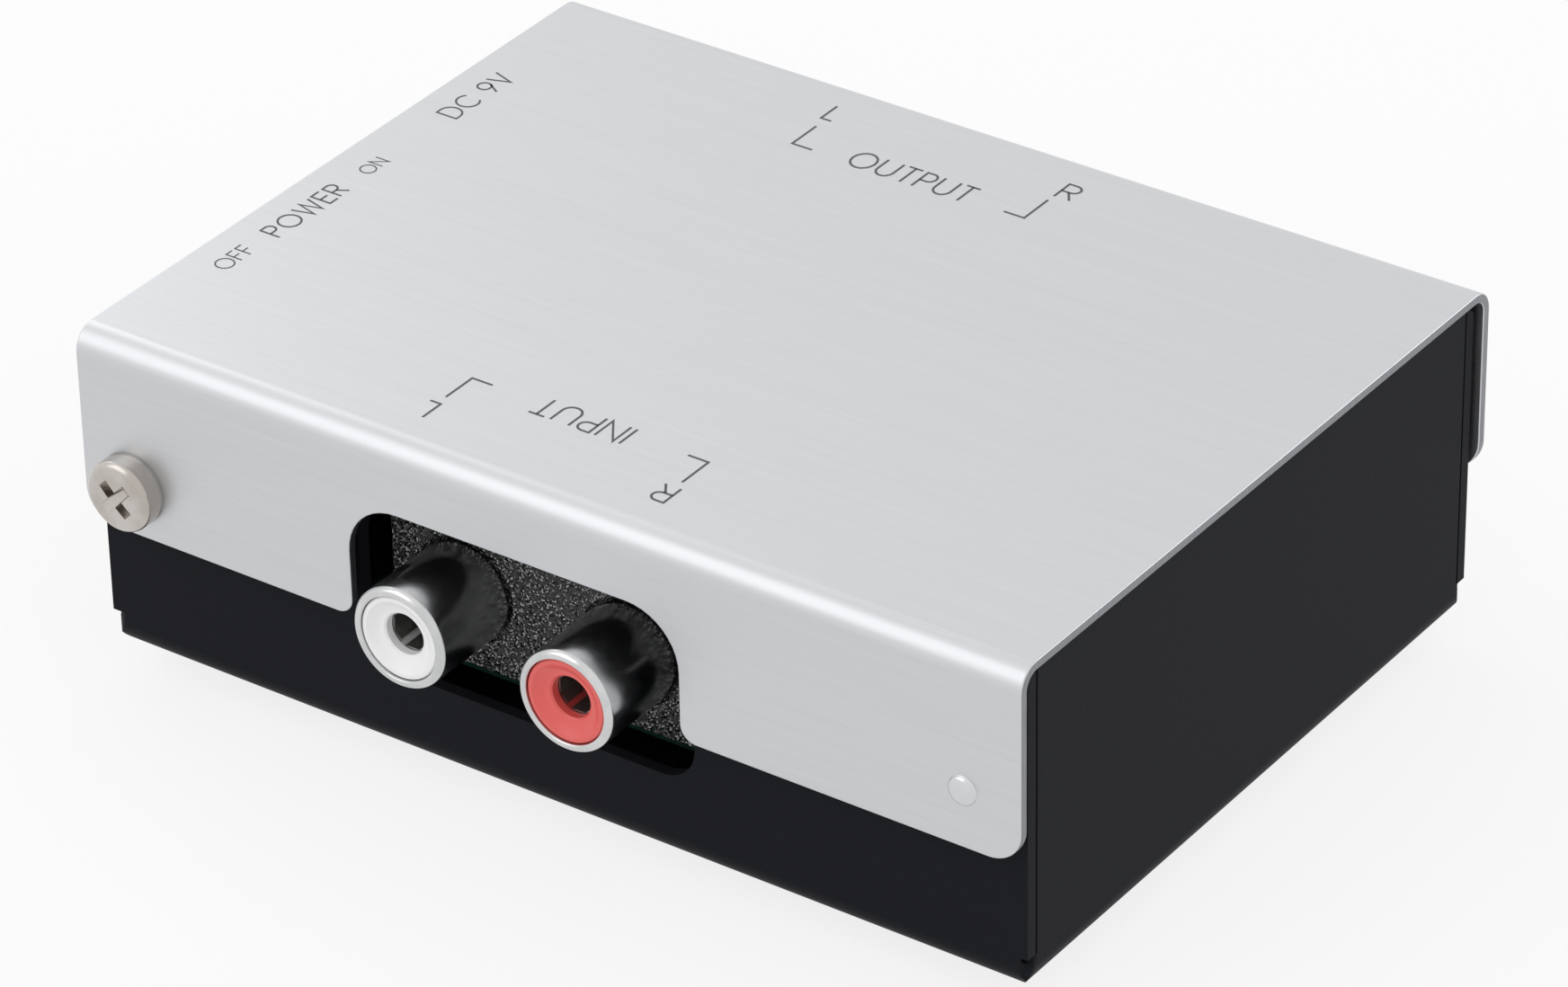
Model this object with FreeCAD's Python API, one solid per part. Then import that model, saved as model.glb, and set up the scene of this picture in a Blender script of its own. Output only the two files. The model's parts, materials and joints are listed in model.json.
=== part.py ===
import FreeCAD, Part
import math
import os

# Phono preamp in a two-piece sheet-metal case.
# Millimetres. X runs along the long side, Y from the input jacks to the output jacks, Z up.
# The origin is the centre of the footprint, on the surface that the rubber feet stand on.

V = FreeCAD.Vector

# Case
case_width = 84.0          # cover, end to end
case_depth = 62.4          # over the outer faces of the cover's two flanges
case_height = 28.4         # underside of the tray to the top of the cover
cover_sheet = 1.0          # sheet of the cover
tray_sheet = 1.0           # sheet of the tray
cover_bend = 2.0           # outside radius of the cover's two bends
tray_bend = 2.3            # outside radius of the tray's four bends
end_reveal = 0.45          # the cover's ends stand this far past the tray's side walls
slip_gap = 0.1             # cover flange to tray wall
lid_gap = 0.25             # top of the side walls to the underside of the cover
flange_drop = 16.3         # how far the cover's flanges reach down from its top
flange_corner = 2.8        # radius of the flanges' lower corners

# Seams at the tray's corners
seam_gap = 0.2             # open joint between a front or back wall and a side wall
seam_bottom = 3.2          # the seams start this high above the tray's underside
corner_radius = 1.25       # plan radius of the drawn corner below the seams
relief_radius = 0.35       # hole that ends each seam

# Rubber feet
foot_height = 2.0
foot_side = 8.0            # square pads
foot_corner = 1.6
foot_inset = 9.5           # foot centre from the case's outer faces

# Circuit board and what holds it
standoff_height = 5.9
standoff_flats = 5.0       # across flats
standoff_shank = 2.1       # radius of the shank pressed into the floor
shank_clearance = 0.02
board_thickness = 1.6
board_end_gap = 1.55       # board's short edges to the tray's side walls
board_side_gap = 3.1       # board's long edges to the walls in front and behind
board_corner = 1.0
board_hole_inset_x = 4.5
board_hole_inset_y = 3.7
board_screw_radius = 1.25
board_screw_head = 2.3
board_screw_head_height = 1.6
board_screw_length = 6.0
board_slot_width = 0.6     # straight slot across the board screws' heads
board_slot_depth = 0.8
board_slot_turn = 20.0     # degrees
standoff_bore_depth = 0.3  # how far the thread runs on below the floor's upper face
hole_clearance = 0.15      # round a screw or a lead that passes through a plate

# Phono jack pairs, one in front and one at the back
jack_center_x = -2.05
jack_pitch = 15.0
output_offset = -0.35      # the output pair's middle, from the input pair's
jack_axis_height = 6.3     # above the board
block_width = 29.0
block_height = 12.5
block_depth = 11.0
block_setback = 1.6        # face of the block behind the inside of the tray wall
block_edge = 0.5
block_seat = 3.0           # how deep the sleeves sit in the block
core_pocket_depth = 3.4    # pockets in the top of the block
core_pocket_wall = 1.4
core_web = 1.6             # thickness of the web between the pockets
core_front = 1.2           # pocket behind the back of the sleeves
core_back = 3.6            # pocket in front of the block's back
tail_inset = 1.6           # centre contact's tail in front of the block's back
tail_slot_gap = 0.1        # round a tail in the block
sleeve_radius = 4.15
sleeve_wall = 0.4
sleeve_step = 0.2          # the sleeve is this much slimmer where it sits in the block
sleeve_reach = 4.4         # front of the sleeve past the outer face of the cover's flange
rim_length = 1.3           # turned-in rim at the sleeve's mouth
rim_inner_radius = 3.45
rim_bevel = 0.45
collar_gap_width = 0.25    # ring-shaped crevice round the sleeve in the block's face
collar_gap_depth = 0.5
fit_clearance = 0.05       # between the nested pieces of a jack
insulator_setback = 0.2    # insulator's face behind the rim
funnel_rim_radius = 3.0    # the dished face starts here
funnel_depth = 0.6
plug_hole_radius = 1.7
mouth_length = 0.8
contact_wall = 0.3
contact_sides = 8          # the spring contact is folded from strip into a tube with flat sides
contact_slit_end = 1.0     # the slit stops this far in front of the back of the sleeve
contact_slit_turn = 30.0   # degrees
contact_setback = 0.1      # front of the contact behind the liner's mouth
contact_slit = 0.5
tail_width = 1.5
tail_thickness = 0.4
pin_stickout = 1.4         # lead ends below the board

# Openings for the jacks
opening_width = 29.6
opening_rise = 7.5         # above the jack axis
opening_drop = 7.3         # and below it, in the tray
opening_overrun = 0.5      # how far a tool that opens a wall runs past it
opening_top_radius = 4.5
opening_bottom_radius = 3.0
notch_flare = 1.4          # rounding where the notch runs out of the flange's edge
opening_margin = 0.15      # the tray's opening is this much larger than the notch

# Screw and locating nub at each flange
screw_inset = 4.5          # from the case's end
screw_above_edge = 4.0     # above the flange's lower edge
screw_radius = 1.5
screw_head_radius = 2.85
screw_head_height = 2.0
screw_head_bevel = 0.9
screw_length = 5.0
recess_width = 0.75
recess_span = 3.3
recess_depth = 1.2
recess_tip = 0.5           # width of the recess at its bottom
recess_turn = 45.0         # degrees
collar_radius = 2.4        # drawn and tapped collar inside the tray's wall
collar_height = 1.3
nub_inset = 4.9
nub_above_edge = 4.8
nub_radius = 1.2
nub_height = 0.45
nub_inside_radius = 0.85   # round hollow behind the nub
nub_skin = 0.4             # metal left under the nub
peg_radius = 0.7           # peg on the tray that sits in the nub's hollow
peg_height = 0.5

# Power switch
switch_y = -7.6            # middle of the knob's travel
switch_travel = 2.5
switch_length = 10.4
switch_height = 5.6
switch_depth = 5.0
switch_lift = 0.3          # above the board
switch_setback = 0.5       # frame behind the inside of the tray wall
frame_sheet = 0.4
frame_ear = 1.2            # the frame stops this far short of the base's back
frame_slot_gap = 0.15      # round the knob in the frame's slot
base_gap = 0.05            # moulded base inside the frame
base_end_gap = 0.1
trough_gap = 0.2           # behind the knob's foot
trough_rise = 0.5          # above and below the knob
trough_end = 0.9           # past the knob at each end of its travel
switch_tail_pitch = 2.5
switch_tail_side = 0.5
switch_tail_offset = 0.6   # tails behind the middle of the frame
switch_tail_rise = 1.5     # into the base
knob_width = 3.2
knob_height = 2.6
knob_reach = 1.0           # past the cover's end
knob_foot = 1.2            # flange of the knob inside the frame
knob_foot_end = 0.5        # how far the foot stands past the stem, along the travel
knob_foot_rise = 0.35      # and above and below it
knob_corner = 0.35
grip_pitch = 0.9           # three grooves across the knob's tip
grip_depth = 0.35
grip_half_width = 0.3
knob_running_gap = 0.08
slot_clearance = 0.5
slot_corner = 0.8

# DC inlet
inlet_y = 14.0
inlet_width = 9.0
inlet_height = 11.0
inlet_length = 14.2
inlet_axis_height = 6.5    # above the board
inlet_setback = 0.3        # face behind the inside of the tray wall
inlet_bore = 3.2
inlet_bore_depth = 9.5
inlet_pin_radius = 1.0
inlet_pin_length = 8.6
inlet_window_radius = 4.1  # hole in the tray's side wall
inlet_shoulder = 3.6       # length of the square nose
inlet_body_drop = 1.2      # the body behind the nose is this much lower
inlet_body_side = 0.4      # and this much slimmer at each side
inlet_body_corner = 3.0
inlet_nose_corner = 0.5
inlet_pin_bevel = 0.45
inlet_pin_head = 0.4       # riveted end behind the body
inlet_plate_gap = 0.05
inlet_plate_sheet = 0.35
inlet_plate_side = 3.0
inlet_tail_back = 0.8      # tails in front of the body's back
inlet_tail_front = 4.4
inlet_tail_sheet = 0.6     # slot for a tail in the board
inlet_leaf_width = 2.0
inlet_leaf_sheet = 0.3
inlet_leaf_length = 3.3
inlet_leaf_gap = 0.2

# Board-mounted parts
chip_length = 9.8
chip_width = 6.4
chip_height = 3.4
chip_lift = 0.5
chip_row = 3.81            # lead rows each side of the chip's centre line
chip_lead_pitch = 2.54
chip_lead_width = 0.5
chip_lead_thickness = 0.28
chip_draft = 0.35
chip_notch_radius = 0.9
chip_notch_depth = 0.5
chip_lead_gap = 0.03       # leads start this far from the body
film_length = 7.2
film_thickness = 3.0
film_height = 7.0
film_pitch = 5.0
film_lift = 0.3
film_bevel = 0.3
lead_grip = 0.5            # how far a lead reaches into its component
small_can_radius = 2.5
small_can_height = 11.0
large_can_radius = 4.0
large_can_height = 12.0
can_lift = 0.2
can_lead_spread = 0.5      # lead's distance from the can's middle, as a share of its radius
resistor_length = 2.0
resistor_width = 1.25
resistor_height = 0.55
diode_length = 4.3
diode_width = 2.6
diode_height = 2.2
diode_lift = 0.1
diode_bevel = 0.3
diode_foot_length = 1.0
diode_foot_width = 1.5
diode_foot_sheet = 0.3
diode_foot_reach = 0.4     # past the body
regulator_radius = 2.4
regulator_height = 4.6
regulator_lift = 2.5
regulator_flat = 1.1
regulator_pitch = 1.27
lead_width = 0.5

# Places on the board
film_offset_x = 9.5
film_rows_y = (-9.0, 0.0, 9.0)
small_can_offset_x = 17.5
small_can_rows_y = (-9.0, 9.0)
large_can_places = ((-28.0, 2.2), (-28.0, -8.0), (25.5, 5.5), (25.5, -5.5))
resistor_offsets_x = (7.5, 11.5)
resistor_rows_y = (-13.3, -4.5, 4.5, 13.3)
diode_place = (-21.0, 17.6)
regulator_place = (-21.5, 13.2)

# Levels and planes worked out from the sizes above
floor_under = foot_height
floor_top = floor_under + tray_sheet
case_top = floor_under + case_height
cover_under = case_top - cover_sheet
flange_edge = case_top - flange_drop
half_width = case_width / 2
half_depth = case_depth / 2
tray_half_width = half_width - end_reveal
tray_half_depth = half_depth - cover_sheet - slip_gap
wall_inside_x = tray_half_width - tray_sheet
wall_inside_y = tray_half_depth - tray_sheet
wall_top = cover_under - lid_gap
board_length = 2 * (wall_inside_x - board_end_gap)
board_width = 2 * (wall_inside_y - board_side_gap)
board_under = floor_top + standoff_height
board_top = board_under + board_thickness
lead_end = board_under - pin_stickout
jack_z = board_top + jack_axis_height
jack_offsets = (-jack_pitch / 2, jack_pitch / 2)
output_center_x = jack_center_x + output_offset
block_face = -(wall_inside_y - block_setback)
sleeve_front = -(half_depth + sleeve_reach)
sleeve_back = block_face + block_seat
contact_radius = plug_hole_radius + contact_wall
screw_x = half_width - screw_inset
screw_z = flange_edge + screw_above_edge
nub_x = half_width - nub_inset
nub_z = flange_edge + nub_above_edge
switch_z = board_top + switch_lift + switch_height / 2
inlet_z = board_top + inlet_axis_height
board_holes = [
    (sx * (board_length / 2 - board_hole_inset_x), sy * (board_width / 2 - board_hole_inset_y))
    for sx in (-1, 1)
    for sy in (-1, 1)
]


# Construction helpers

def box(x0, x1, y0, y1, z0, z1):
    return Part.makeBox(x1 - x0, y1 - y0, z1 - z0, V(x0, y0, z0))


def rod(radius, start, end):
    """A round bar between two points."""
    axis = V(*end) - V(*start)
    return Part.makeCylinder(radius, axis.Length, V(*start), axis)


def outline(corners):
    """A closed face from (u, v, radius) corners in the UV plane.

    A positive radius rounds the corner with a tangent arc. A negative one cuts it off straight,
    that far from the corner.
    """
    count = len(corners)
    legs = []
    for i, (u, v, radius) in enumerate(corners):
        here = V(u, v, 0)
        before = V(corners[i - 1][0], corners[i - 1][1], 0)
        after = V(corners[(i + 1) % count][0], corners[(i + 1) % count][1], 0)
        back = (before - here).normalize()
        ahead = (after - here).normalize()
        if radius <= 0:
            legs.append((here - back * radius, here - ahead * radius))
            continue
        half_angle = back.getAngle(ahead) / 2
        reach = radius / math.tan(half_angle)
        bisector = (back + ahead).normalize()
        middle = here + bisector * (radius / math.sin(half_angle) - radius)
        legs.append((here + back * reach, middle, here + ahead * reach))
    edges = []
    for i in range(count):
        end = legs[i][-1]
        if len(legs[i]) == 3:
            edges.append(Part.Arc(*legs[i]).toShape())
        elif legs[i][0].distanceToPoint(end) > 1e-6:
            edges.append(Part.makeLine(legs[i][0], end))
        following = legs[(i + 1) % count][0]
        if end.distanceToPoint(following) > 1e-6:
            edges.append(Part.makeLine(end, following))
    return Part.Face(Part.Wire(edges))


def along_x(corners, x0, x1):
    """Corners are (y, z, radius)."""
    face = outline(corners)
    face.Placement = FreeCAD.Placement(V(x0, 0, 0), FreeCAD.Rotation(V(1, 1, 1), 120))
    return face.extrude(V(x1 - x0, 0, 0))


def along_y(corners, y0, y1):
    """Corners are (x, z, radius)."""
    face = outline(corners)
    face.Placement = FreeCAD.Placement(V(0, y0, 0), FreeCAD.Rotation(V(1, 0, 0), 90))
    return face.extrude(V(0, y1 - y0, 0))


def along_z(corners, z0, z1):
    """Corners are (x, y, radius)."""
    face = outline(corners)
    face.translate(V(0, 0, z0))
    return face.extrude(V(0, 0, z1 - z0))


def rectangle(u0, u1, v0, v1, radius=0.0):
    return [(u0, v0, radius), (u1, v0, radius), (u1, v1, radius), (u0, v1, radius)]


def turned_y(profile, x, z):
    """Revolve (y, r, radius) corners about the line through (x, z) along Y."""
    face = outline([(r, y, radius) for y, r, radius in profile])
    body = face.revolve(V(0, 0, 0), V(0, 1, 0), 360)
    body.translate(V(x, 0, z))
    return body


def turned_z(profile, x, y):
    """Revolve (z, r, radius) corners about the upright line through (x, y)."""
    face = outline([(r, z, radius) for z, r, radius in profile])
    face.Placement = FreeCAD.Placement(V(0, 0, 0), FreeCAD.Rotation(V(1, 0, 0), 90))
    body = face.revolve(V(0, 0, 0), V(0, 0, 1), 360)
    body.translate(V(x, y, 0))
    return body


def dome(radius, height, x, y, z, facing):
    """A spherical cap whose base circle lies in the plane y, bulging towards facing * Y."""
    ball = (radius ** 2 + height ** 2) / (2 * height)
    sphere = Part.makeSphere(ball, V(x, y + facing * (height - ball), z))
    slab_y = sorted((y, y + facing * 2 * height))
    return sphere.common(box(x - ball, x + ball, slab_y[0], slab_y[1], z - ball, z + ball))


def at_back(shape):
    """The same piece turned half round and moved over, for the output side."""
    turned = shape.copy()
    turned.rotate(V(jack_center_x, 0, 0), V(0, 0, 1), 180)
    turned.translate(V(output_offset, 0, 0))
    return turned


def both_ends(shape):
    """A piece at the front flange and its twin, turned half round about the case's centre."""
    twin = shape.copy()
    twin.rotate(V(0, 0, 0), V(0, 0, 1), 180)
    return [shape, twin]


def cut_all(shape, tools):
    return shape.cut(Part.makeCompound(tools))


# Sheet-metal case

def jack_opening(middle, margin, bottom_radius, z_bottom):
    """Outline of the opening round a jack pair, as (x, z, radius) corners."""
    left = middle - opening_width / 2 - margin
    right = middle + opening_width / 2 + margin
    top = jack_z + opening_rise + margin
    return [
        (left, z_bottom, bottom_radius),
        (right, z_bottom, bottom_radius),
        (right, top, opening_top_radius),
        (left, top, opening_top_radius),
    ]


def cover_face(middle):
    """Outline of the cover seen from the front, notched round a jack pair, as (x, z, radius) corners."""
    left = middle - opening_width / 2
    right = middle + opening_width / 2
    notch_top = jack_z + opening_rise
    above = case_top + 1
    return [
        (-half_width, above, 0),
        (-half_width, flange_edge, flange_corner),
        (left, flange_edge, notch_flare),
        (left, notch_top, opening_top_radius),
        (right, notch_top, opening_top_radius),
        (right, flange_edge, notch_flare),
        (half_width, flange_edge, flange_corner),
        (half_width, above, 0),
    ]


def top_cover():
    inner_bend = cover_bend - cover_sheet
    inside = half_depth - cover_sheet
    channel = along_x([
        (-half_depth, flange_edge, 0),
        (-inside, flange_edge, 0),
        (-inside, cover_under, inner_bend),
        (inside, cover_under, inner_bend),
        (inside, flange_edge, 0),
        (half_depth, flange_edge, 0),
        (half_depth, case_top, cover_bend),
        (-half_depth, case_top, cover_bend),
    ], -half_width, half_width)
    blank = along_y(cover_face(jack_center_x), -half_depth, 0)
    blank = blank.fuse(along_y(cover_face(output_center_x), 0, half_depth))
    cover = channel.common(blank)
    nubs = both_ends(dome(nub_radius, nub_height, nub_x, -half_depth, nub_z, -1))
    hollow_end = -inside - cover_sheet + nub_skin
    hollows = both_ends(rod(nub_inside_radius, (nub_x, hollow_end, nub_z), (nub_x, -inside + 1, nub_z)))
    hole = rod(
        screw_radius + hole_clearance, (-screw_x, -half_depth - 1, screw_z), (-screw_x, -inside + 1, screw_z))
    cover = cover.fuse(nubs)
    cover = cut_all(cover, hollows + both_ends(hole))
    return cover.removeSplitter()


def tray_shell():
    """Outer form less inner form: four bends and a floor, open at the top."""
    inner_bend = tray_bend - tray_sheet
    upper = cover_bend - cover_sheet

    def form(half_x, half_y, z0, z1, bend, shoulder):
        across = along_y([
            (-half_x, z0, bend), (half_x, z0, bend), (half_x, z1, 0), (-half_x, z1, 0),
        ], -half_y, half_y)
        lengthwise = along_x([
            (-half_y, z0, bend), (half_y, z0, bend), (half_y, z1, shoulder), (-half_y, z1, shoulder),
        ], -half_x, half_x)
        return across.common(lengthwise)

    outer = form(tray_half_width, tray_half_depth, floor_under, wall_top, tray_bend, upper)
    inner = form(wall_inside_x, wall_inside_y, floor_top, case_top, inner_bend, 0)
    return outer.cut(inner)


def tray_corners():
    """Tools that round the drawn corners, open the seams and drill the relief holes."""
    seam_z = floor_under + seam_bottom
    tools = []
    for sx in (-1, 1):
        for sy in (-1, 1):
            x_out = sx * tray_half_width
            y_out = sy * tray_half_depth
            x_mid = x_out - sx * corner_radius
            y_mid = y_out - sy * corner_radius
            block = box(
                min(x_mid, x_out + sx), max(x_mid, x_out + sx),
                min(y_mid, y_out + sy), max(y_mid, y_out + sy),
                floor_under - 1, seam_z)
            keep = rod(corner_radius, (x_mid, y_mid, floor_under - 2), (x_mid, y_mid, seam_z + 1))
            tools.append(block.cut(keep))
            y_seam = sorted((sy * wall_inside_y, sy * (wall_inside_y - seam_gap)))
            x_seam = sorted((sx * (wall_inside_x - opening_overrun), sx * (tray_half_width + 1)))
            tools.append(box(x_seam[0], x_seam[1], y_seam[0], y_seam[1], seam_z, case_top))
            y_relief = sy * (wall_inside_y + tray_sheet / 2)
            relief_z = seam_z - relief_radius
            tools.append(rod(
                relief_radius,
                (sx * (wall_inside_x - opening_overrun), y_relief, relief_z),
                (sx * (tray_half_width + 1), y_relief, relief_z)))
    return tools


def base_tray():
    tray = tray_shell()
    y_out = -tray_half_depth
    y_in = -wall_inside_y
    root = tray_sheet / 4
    collar = rod(collar_radius, (-screw_x, y_in - root, screw_z), (-screw_x, y_in + collar_height, screw_z))
    peg = rod(peg_radius, (nub_x, y_out - peg_height, nub_z), (nub_x, y_out + root, nub_z))
    tray = tray.fuse(both_ends(collar) + both_ends(peg))
    tools = tray_corners()
    window_bottom = jack_z - opening_drop - opening_margin
    for middle, y0, y1 in (
            (jack_center_x, y_out - 1, y_in + opening_overrun),
            (output_center_x, -y_in - opening_overrun, -y_out + 1)):
        tools.append(along_y(
            jack_opening(middle, opening_margin, opening_bottom_radius, window_bottom), y0, y1))
    # The walls in front and behind stop below the cover's bends
    bend_clear = cover_under - cover_bend
    tools.append(box(
        -wall_inside_x, wall_inside_x, y_out - 1, y_in + opening_overrun, bend_clear, case_top))
    tools.append(box(
        -wall_inside_x, wall_inside_x, -y_in - opening_overrun, -y_out + 1, bend_clear, case_top))
    thread = rod(
        screw_radius + fit_clearance,
        (-screw_x, y_out - 1, screw_z), (-screw_x, y_in + collar_height + 1, screw_z))
    tools += both_ends(thread)
    slot_half = (knob_width + switch_travel) / 2 + slot_clearance
    slot_rise = knob_height / 2 + slot_clearance
    x_side = (-tray_half_width - 1, -wall_inside_x + opening_overrun)
    tools.append(along_x(rectangle(
        switch_y - slot_half, switch_y + slot_half, switch_z - slot_rise, switch_z + slot_rise,
        slot_corner), *x_side))
    tools.append(rod(inlet_window_radius, (x_side[0], inlet_y, inlet_z), (x_side[1], inlet_y, inlet_z)))
    for x, y in board_holes:
        tools.append(rod(standoff_shank + shank_clearance, (x, y, floor_under - 1), (x, y, floor_top + 1)))
    return cut_all(tray, tools)


def cover_screw():
    """Pan-head screw with a cross recess, driven in along +Y."""
    head_front = -half_depth - screw_head_height
    body = turned_y([
        (head_front, 0, 0),
        (head_front, screw_head_radius, -screw_head_bevel),
        (-half_depth, screw_head_radius, 0),
        (-half_depth, screw_radius, 0),
        (-half_depth + screw_length, screw_radius, 0),
        (-half_depth + screw_length, 0, 0),
    ], -screw_x, screw_z)
    half_span = recess_span / 2
    half_width_of_arm = recess_width / 2
    tip = recess_tip / 2
    arms = []
    for angle in (0, 90):
        arm = along_z([
            (-half_span, head_front - 0.1, 0),
            (half_span, head_front - 0.1, 0),
            (tip, head_front + recess_depth, 0),
            (-tip, head_front + recess_depth, 0),
        ], -half_width_of_arm, half_width_of_arm)
        arm.rotate(V(0, 0, 0), V(0, 1, 0), angle + recess_turn)
        arm.translate(V(-screw_x, 0, screw_z))
        arms.append(arm)
    return cut_all(body, arms)


def rubber_feet():
    feet = []
    for sx in (-1, 1):
        for sy in (-1, 1):
            x = sx * (half_width - foot_inset)
            y = sy * (half_depth - foot_inset)
            half = foot_side / 2
            pad = rectangle(x - half, x + half, y - half, y + half, -foot_corner)
            feet.append(along_z(pad, 0, foot_height))
    return feet


# Circuit board and its mountings

def standoff(x, y):
    """Hexagonal threaded standoff with a round shank pressed into the floor."""
    corner = standoff_flats / math.sqrt(3)
    sides = [
        (x + corner * math.cos(math.radians(60 * i)), y + corner * math.sin(math.radians(60 * i)), 0)
        for i in range(6)
    ]
    body = along_z(sides, floor_top, board_under)
    shank = rod(standoff_shank, (x, y, floor_under), (x, y, floor_top))
    bore = rod(
        board_screw_radius + fit_clearance, (x, y, floor_top - standoff_bore_depth), (x, y, board_under + 1))
    return body.fuse(shank).cut(bore)


def board_screw(x, y):
    """Slotted cheese-head screw, driven down through the board."""
    seat = board_top
    body = turned_z([
        (seat + board_screw_head_height, 0, 0),
        (seat + board_screw_head_height, board_screw_head, 0),
        (seat, board_screw_head, 0),
        (seat, board_screw_radius, 0),
        (seat - board_screw_length, board_screw_radius, 0),
        (seat - board_screw_length, 0, 0),
    ], x, y)
    top = seat + board_screw_head_height
    past = board_screw_head + 1
    half_slot = board_slot_width / 2
    slot = box(-past, past, -half_slot, half_slot, top - board_slot_depth, top + 1)
    slot.rotate(V(0, 0, 0), V(0, 0, 1), board_slot_turn)
    slot.translate(V(x, y, 0))
    return body.cut(slot)


def jack_tail_places():
    """(x, y) of every flat tail of the two jack pairs: the sleeves' and the spring contacts'."""
    front = []
    for offset in jack_offsets:
        x = jack_center_x + offset
        front.append((x, sleeve_back - tail_thickness / 2))
        front.append((x, block_face + block_depth - tail_inset))
    return front + [(2 * jack_center_x - x + output_offset, -y) for x, y in front]


def film_places():
    return [(jack_center_x + side * film_offset_x, y) for side in (-1, 1) for y in film_rows_y]


def small_can_places():
    return [(jack_center_x + side * small_can_offset_x, y) for side in (-1, 1) for y in small_can_rows_y]


def can_leads(places, radius):
    spread = radius * can_lead_spread
    return [(x + side * spread, y) for x, y in places for side in (-1, 1)]


def lead_places():
    """(x, y) of every wire lead that goes through the board."""
    places = [(x + side * film_pitch / 2, y) for x, y in film_places() for side in (-1, 1)]
    places += can_leads(small_can_places(), small_can_radius)
    places += can_leads(large_can_places, large_can_radius)
    x, y = regulator_place
    places += [(x + i * regulator_pitch, y) for i in (-1, 0, 1)]
    return places


def chip_lead_places():
    return [
        (jack_center_x + side * chip_row, (i - 1.5) * chip_lead_pitch)
        for side in (-1, 1)
        for i in range(4)
    ]


def slot_through_board(x, y, size_x, size_y):
    return box(x - size_x / 2, x + size_x / 2, y - size_y / 2, y + size_y / 2, board_under - 1, board_top + 1)


def circuit_board():
    board = along_z(rectangle(
        -board_length / 2, board_length / 2, -board_width / 2, board_width / 2, -board_corner),
        board_under, board_top)
    tools = []
    for x, y in board_holes:
        tools.append(rod(board_screw_radius + hole_clearance, (x, y, board_under - 1), (x, y, board_top + 1)))
    for x, y in jack_tail_places():
        tools.append(slot_through_board(
            x, y, tail_width + 2 * hole_clearance, tail_thickness + 2 * hole_clearance))
    for x, y in lead_places():
        side = lead_width + 2 * hole_clearance
        tools.append(slot_through_board(x, y, side, side))
    for x, y in chip_lead_places():
        side = chip_lead_width + 2 * hole_clearance
        tools.append(slot_through_board(x, y, side, side))
    for x, y in switch_tail_places():
        side = switch_tail_side + 2 * hole_clearance
        tools.append(slot_through_board(x, y, side, side))
    for x, y in inlet_tail_places():
        tools.append(slot_through_board(
            x, y, inlet_tail_sheet + 2 * hole_clearance, inlet_leaf_width + 2 * hole_clearance))
    return cut_all(board, tools)


# Phono jacks

def jack_block():
    """Moulded body that holds two jacks: bored for sleeves, cored out from above."""
    back = block_face + block_depth
    left = jack_center_x - block_width / 2
    right = jack_center_x + block_width / 2
    top = board_top + block_height
    block = along_z(rectangle(left, right, block_face, back, -block_edge), board_top, top)
    half_slot = tail_width / 2 + tail_slot_gap
    tools = []
    for offset in jack_offsets:
        x = jack_center_x + offset
        seat = sleeve_radius - sleeve_step + fit_clearance
        tools.append(rod(seat, (x, block_face - 1, jack_z), (x, sleeve_back, jack_z)))
        crevice = sleeve_radius + fit_clearance + collar_gap_width
        tools.append(rod(crevice, (x, block_face - 1, jack_z), (x, block_face + collar_gap_depth, jack_z)))
        # Room for the tail of the sleeve, then for the spring contact and its tail
        tools.append(box(
            x - half_slot, x + half_slot,
            sleeve_back - tail_thickness - tail_slot_gap, sleeve_back,
            board_top - 1, jack_z - sleeve_radius / 2))
        bore = contact_radius + 2 * fit_clearance
        rear = back - tail_inset + tail_thickness / 2 + tail_slot_gap
        tools.append(rod(bore, (x, sleeve_back - 1, jack_z), (x, rear, jack_z)))
        tools.append(box(
            x - half_slot, x + half_slot,
            rear - tail_thickness - 2 * tail_slot_gap, rear, board_top - 1, jack_z))
    # Two core pockets in the top, either side of a web, as the moulding has
    for side in (-1, 1):
        near = core_web / 2
        far = block_width / 2 - core_pocket_wall
        xs = sorted((jack_center_x + side * near, jack_center_x + side * far))
        tools.append(box(
            xs[0], xs[1], sleeve_back + core_front, back - core_back, top - core_pocket_depth, top + 1))
    return cut_all(block, tools)


def jack_sleeve(x):
    """Outer contact of a jack: a drawn tube with a turned-in rim and a solder tail."""
    inner = sleeve_radius - sleeve_wall
    tube = turned_y([
        (sleeve_front, rim_inner_radius, 0),
        (sleeve_front, sleeve_radius, -rim_bevel),
        (block_face, sleeve_radius, 0),
        (block_face, sleeve_radius - sleeve_step, 0),
        (sleeve_back, sleeve_radius - sleeve_step, 0),
        (sleeve_back, inner, 0),
        (sleeve_front + rim_length, inner, 0),
        (sleeve_front + rim_length, rim_inner_radius, 0),
    ], x, jack_z)
    tail = box(
        x - tail_width / 2, x + tail_width / 2, sleeve_back - tail_thickness, sleeve_back,
        lead_end, jack_z - inner - tail_slot_gap)
    return tube.fuse(tail).removeSplitter()


def jack_insulator(x):
    """Coloured liner of a jack, with a funnel that leads the plug's pin into the bore."""
    face = sleeve_front + insulator_setback
    outer = sleeve_radius - sleeve_wall - fit_clearance
    lip = rim_inner_radius - fit_clearance
    step = sleeve_front + rim_length + fit_clearance
    chamber = contact_radius + fit_clearance
    mouth_end = face + funnel_depth + mouth_length
    rear = sleeve_back - tail_thickness - 2 * tail_slot_gap
    return turned_y([
        (face, lip, 0),
        (step, lip, 0),
        (step, outer, 0),
        (rear, outer, 0),
        (rear, chamber, 0),
        (mouth_end, chamber, 0),
        (mouth_end, plug_hole_radius, 0),
        (face + funnel_depth, plug_hole_radius, 0),
        (face, funnel_rim_radius, 0),
    ], x, jack_z)


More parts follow.
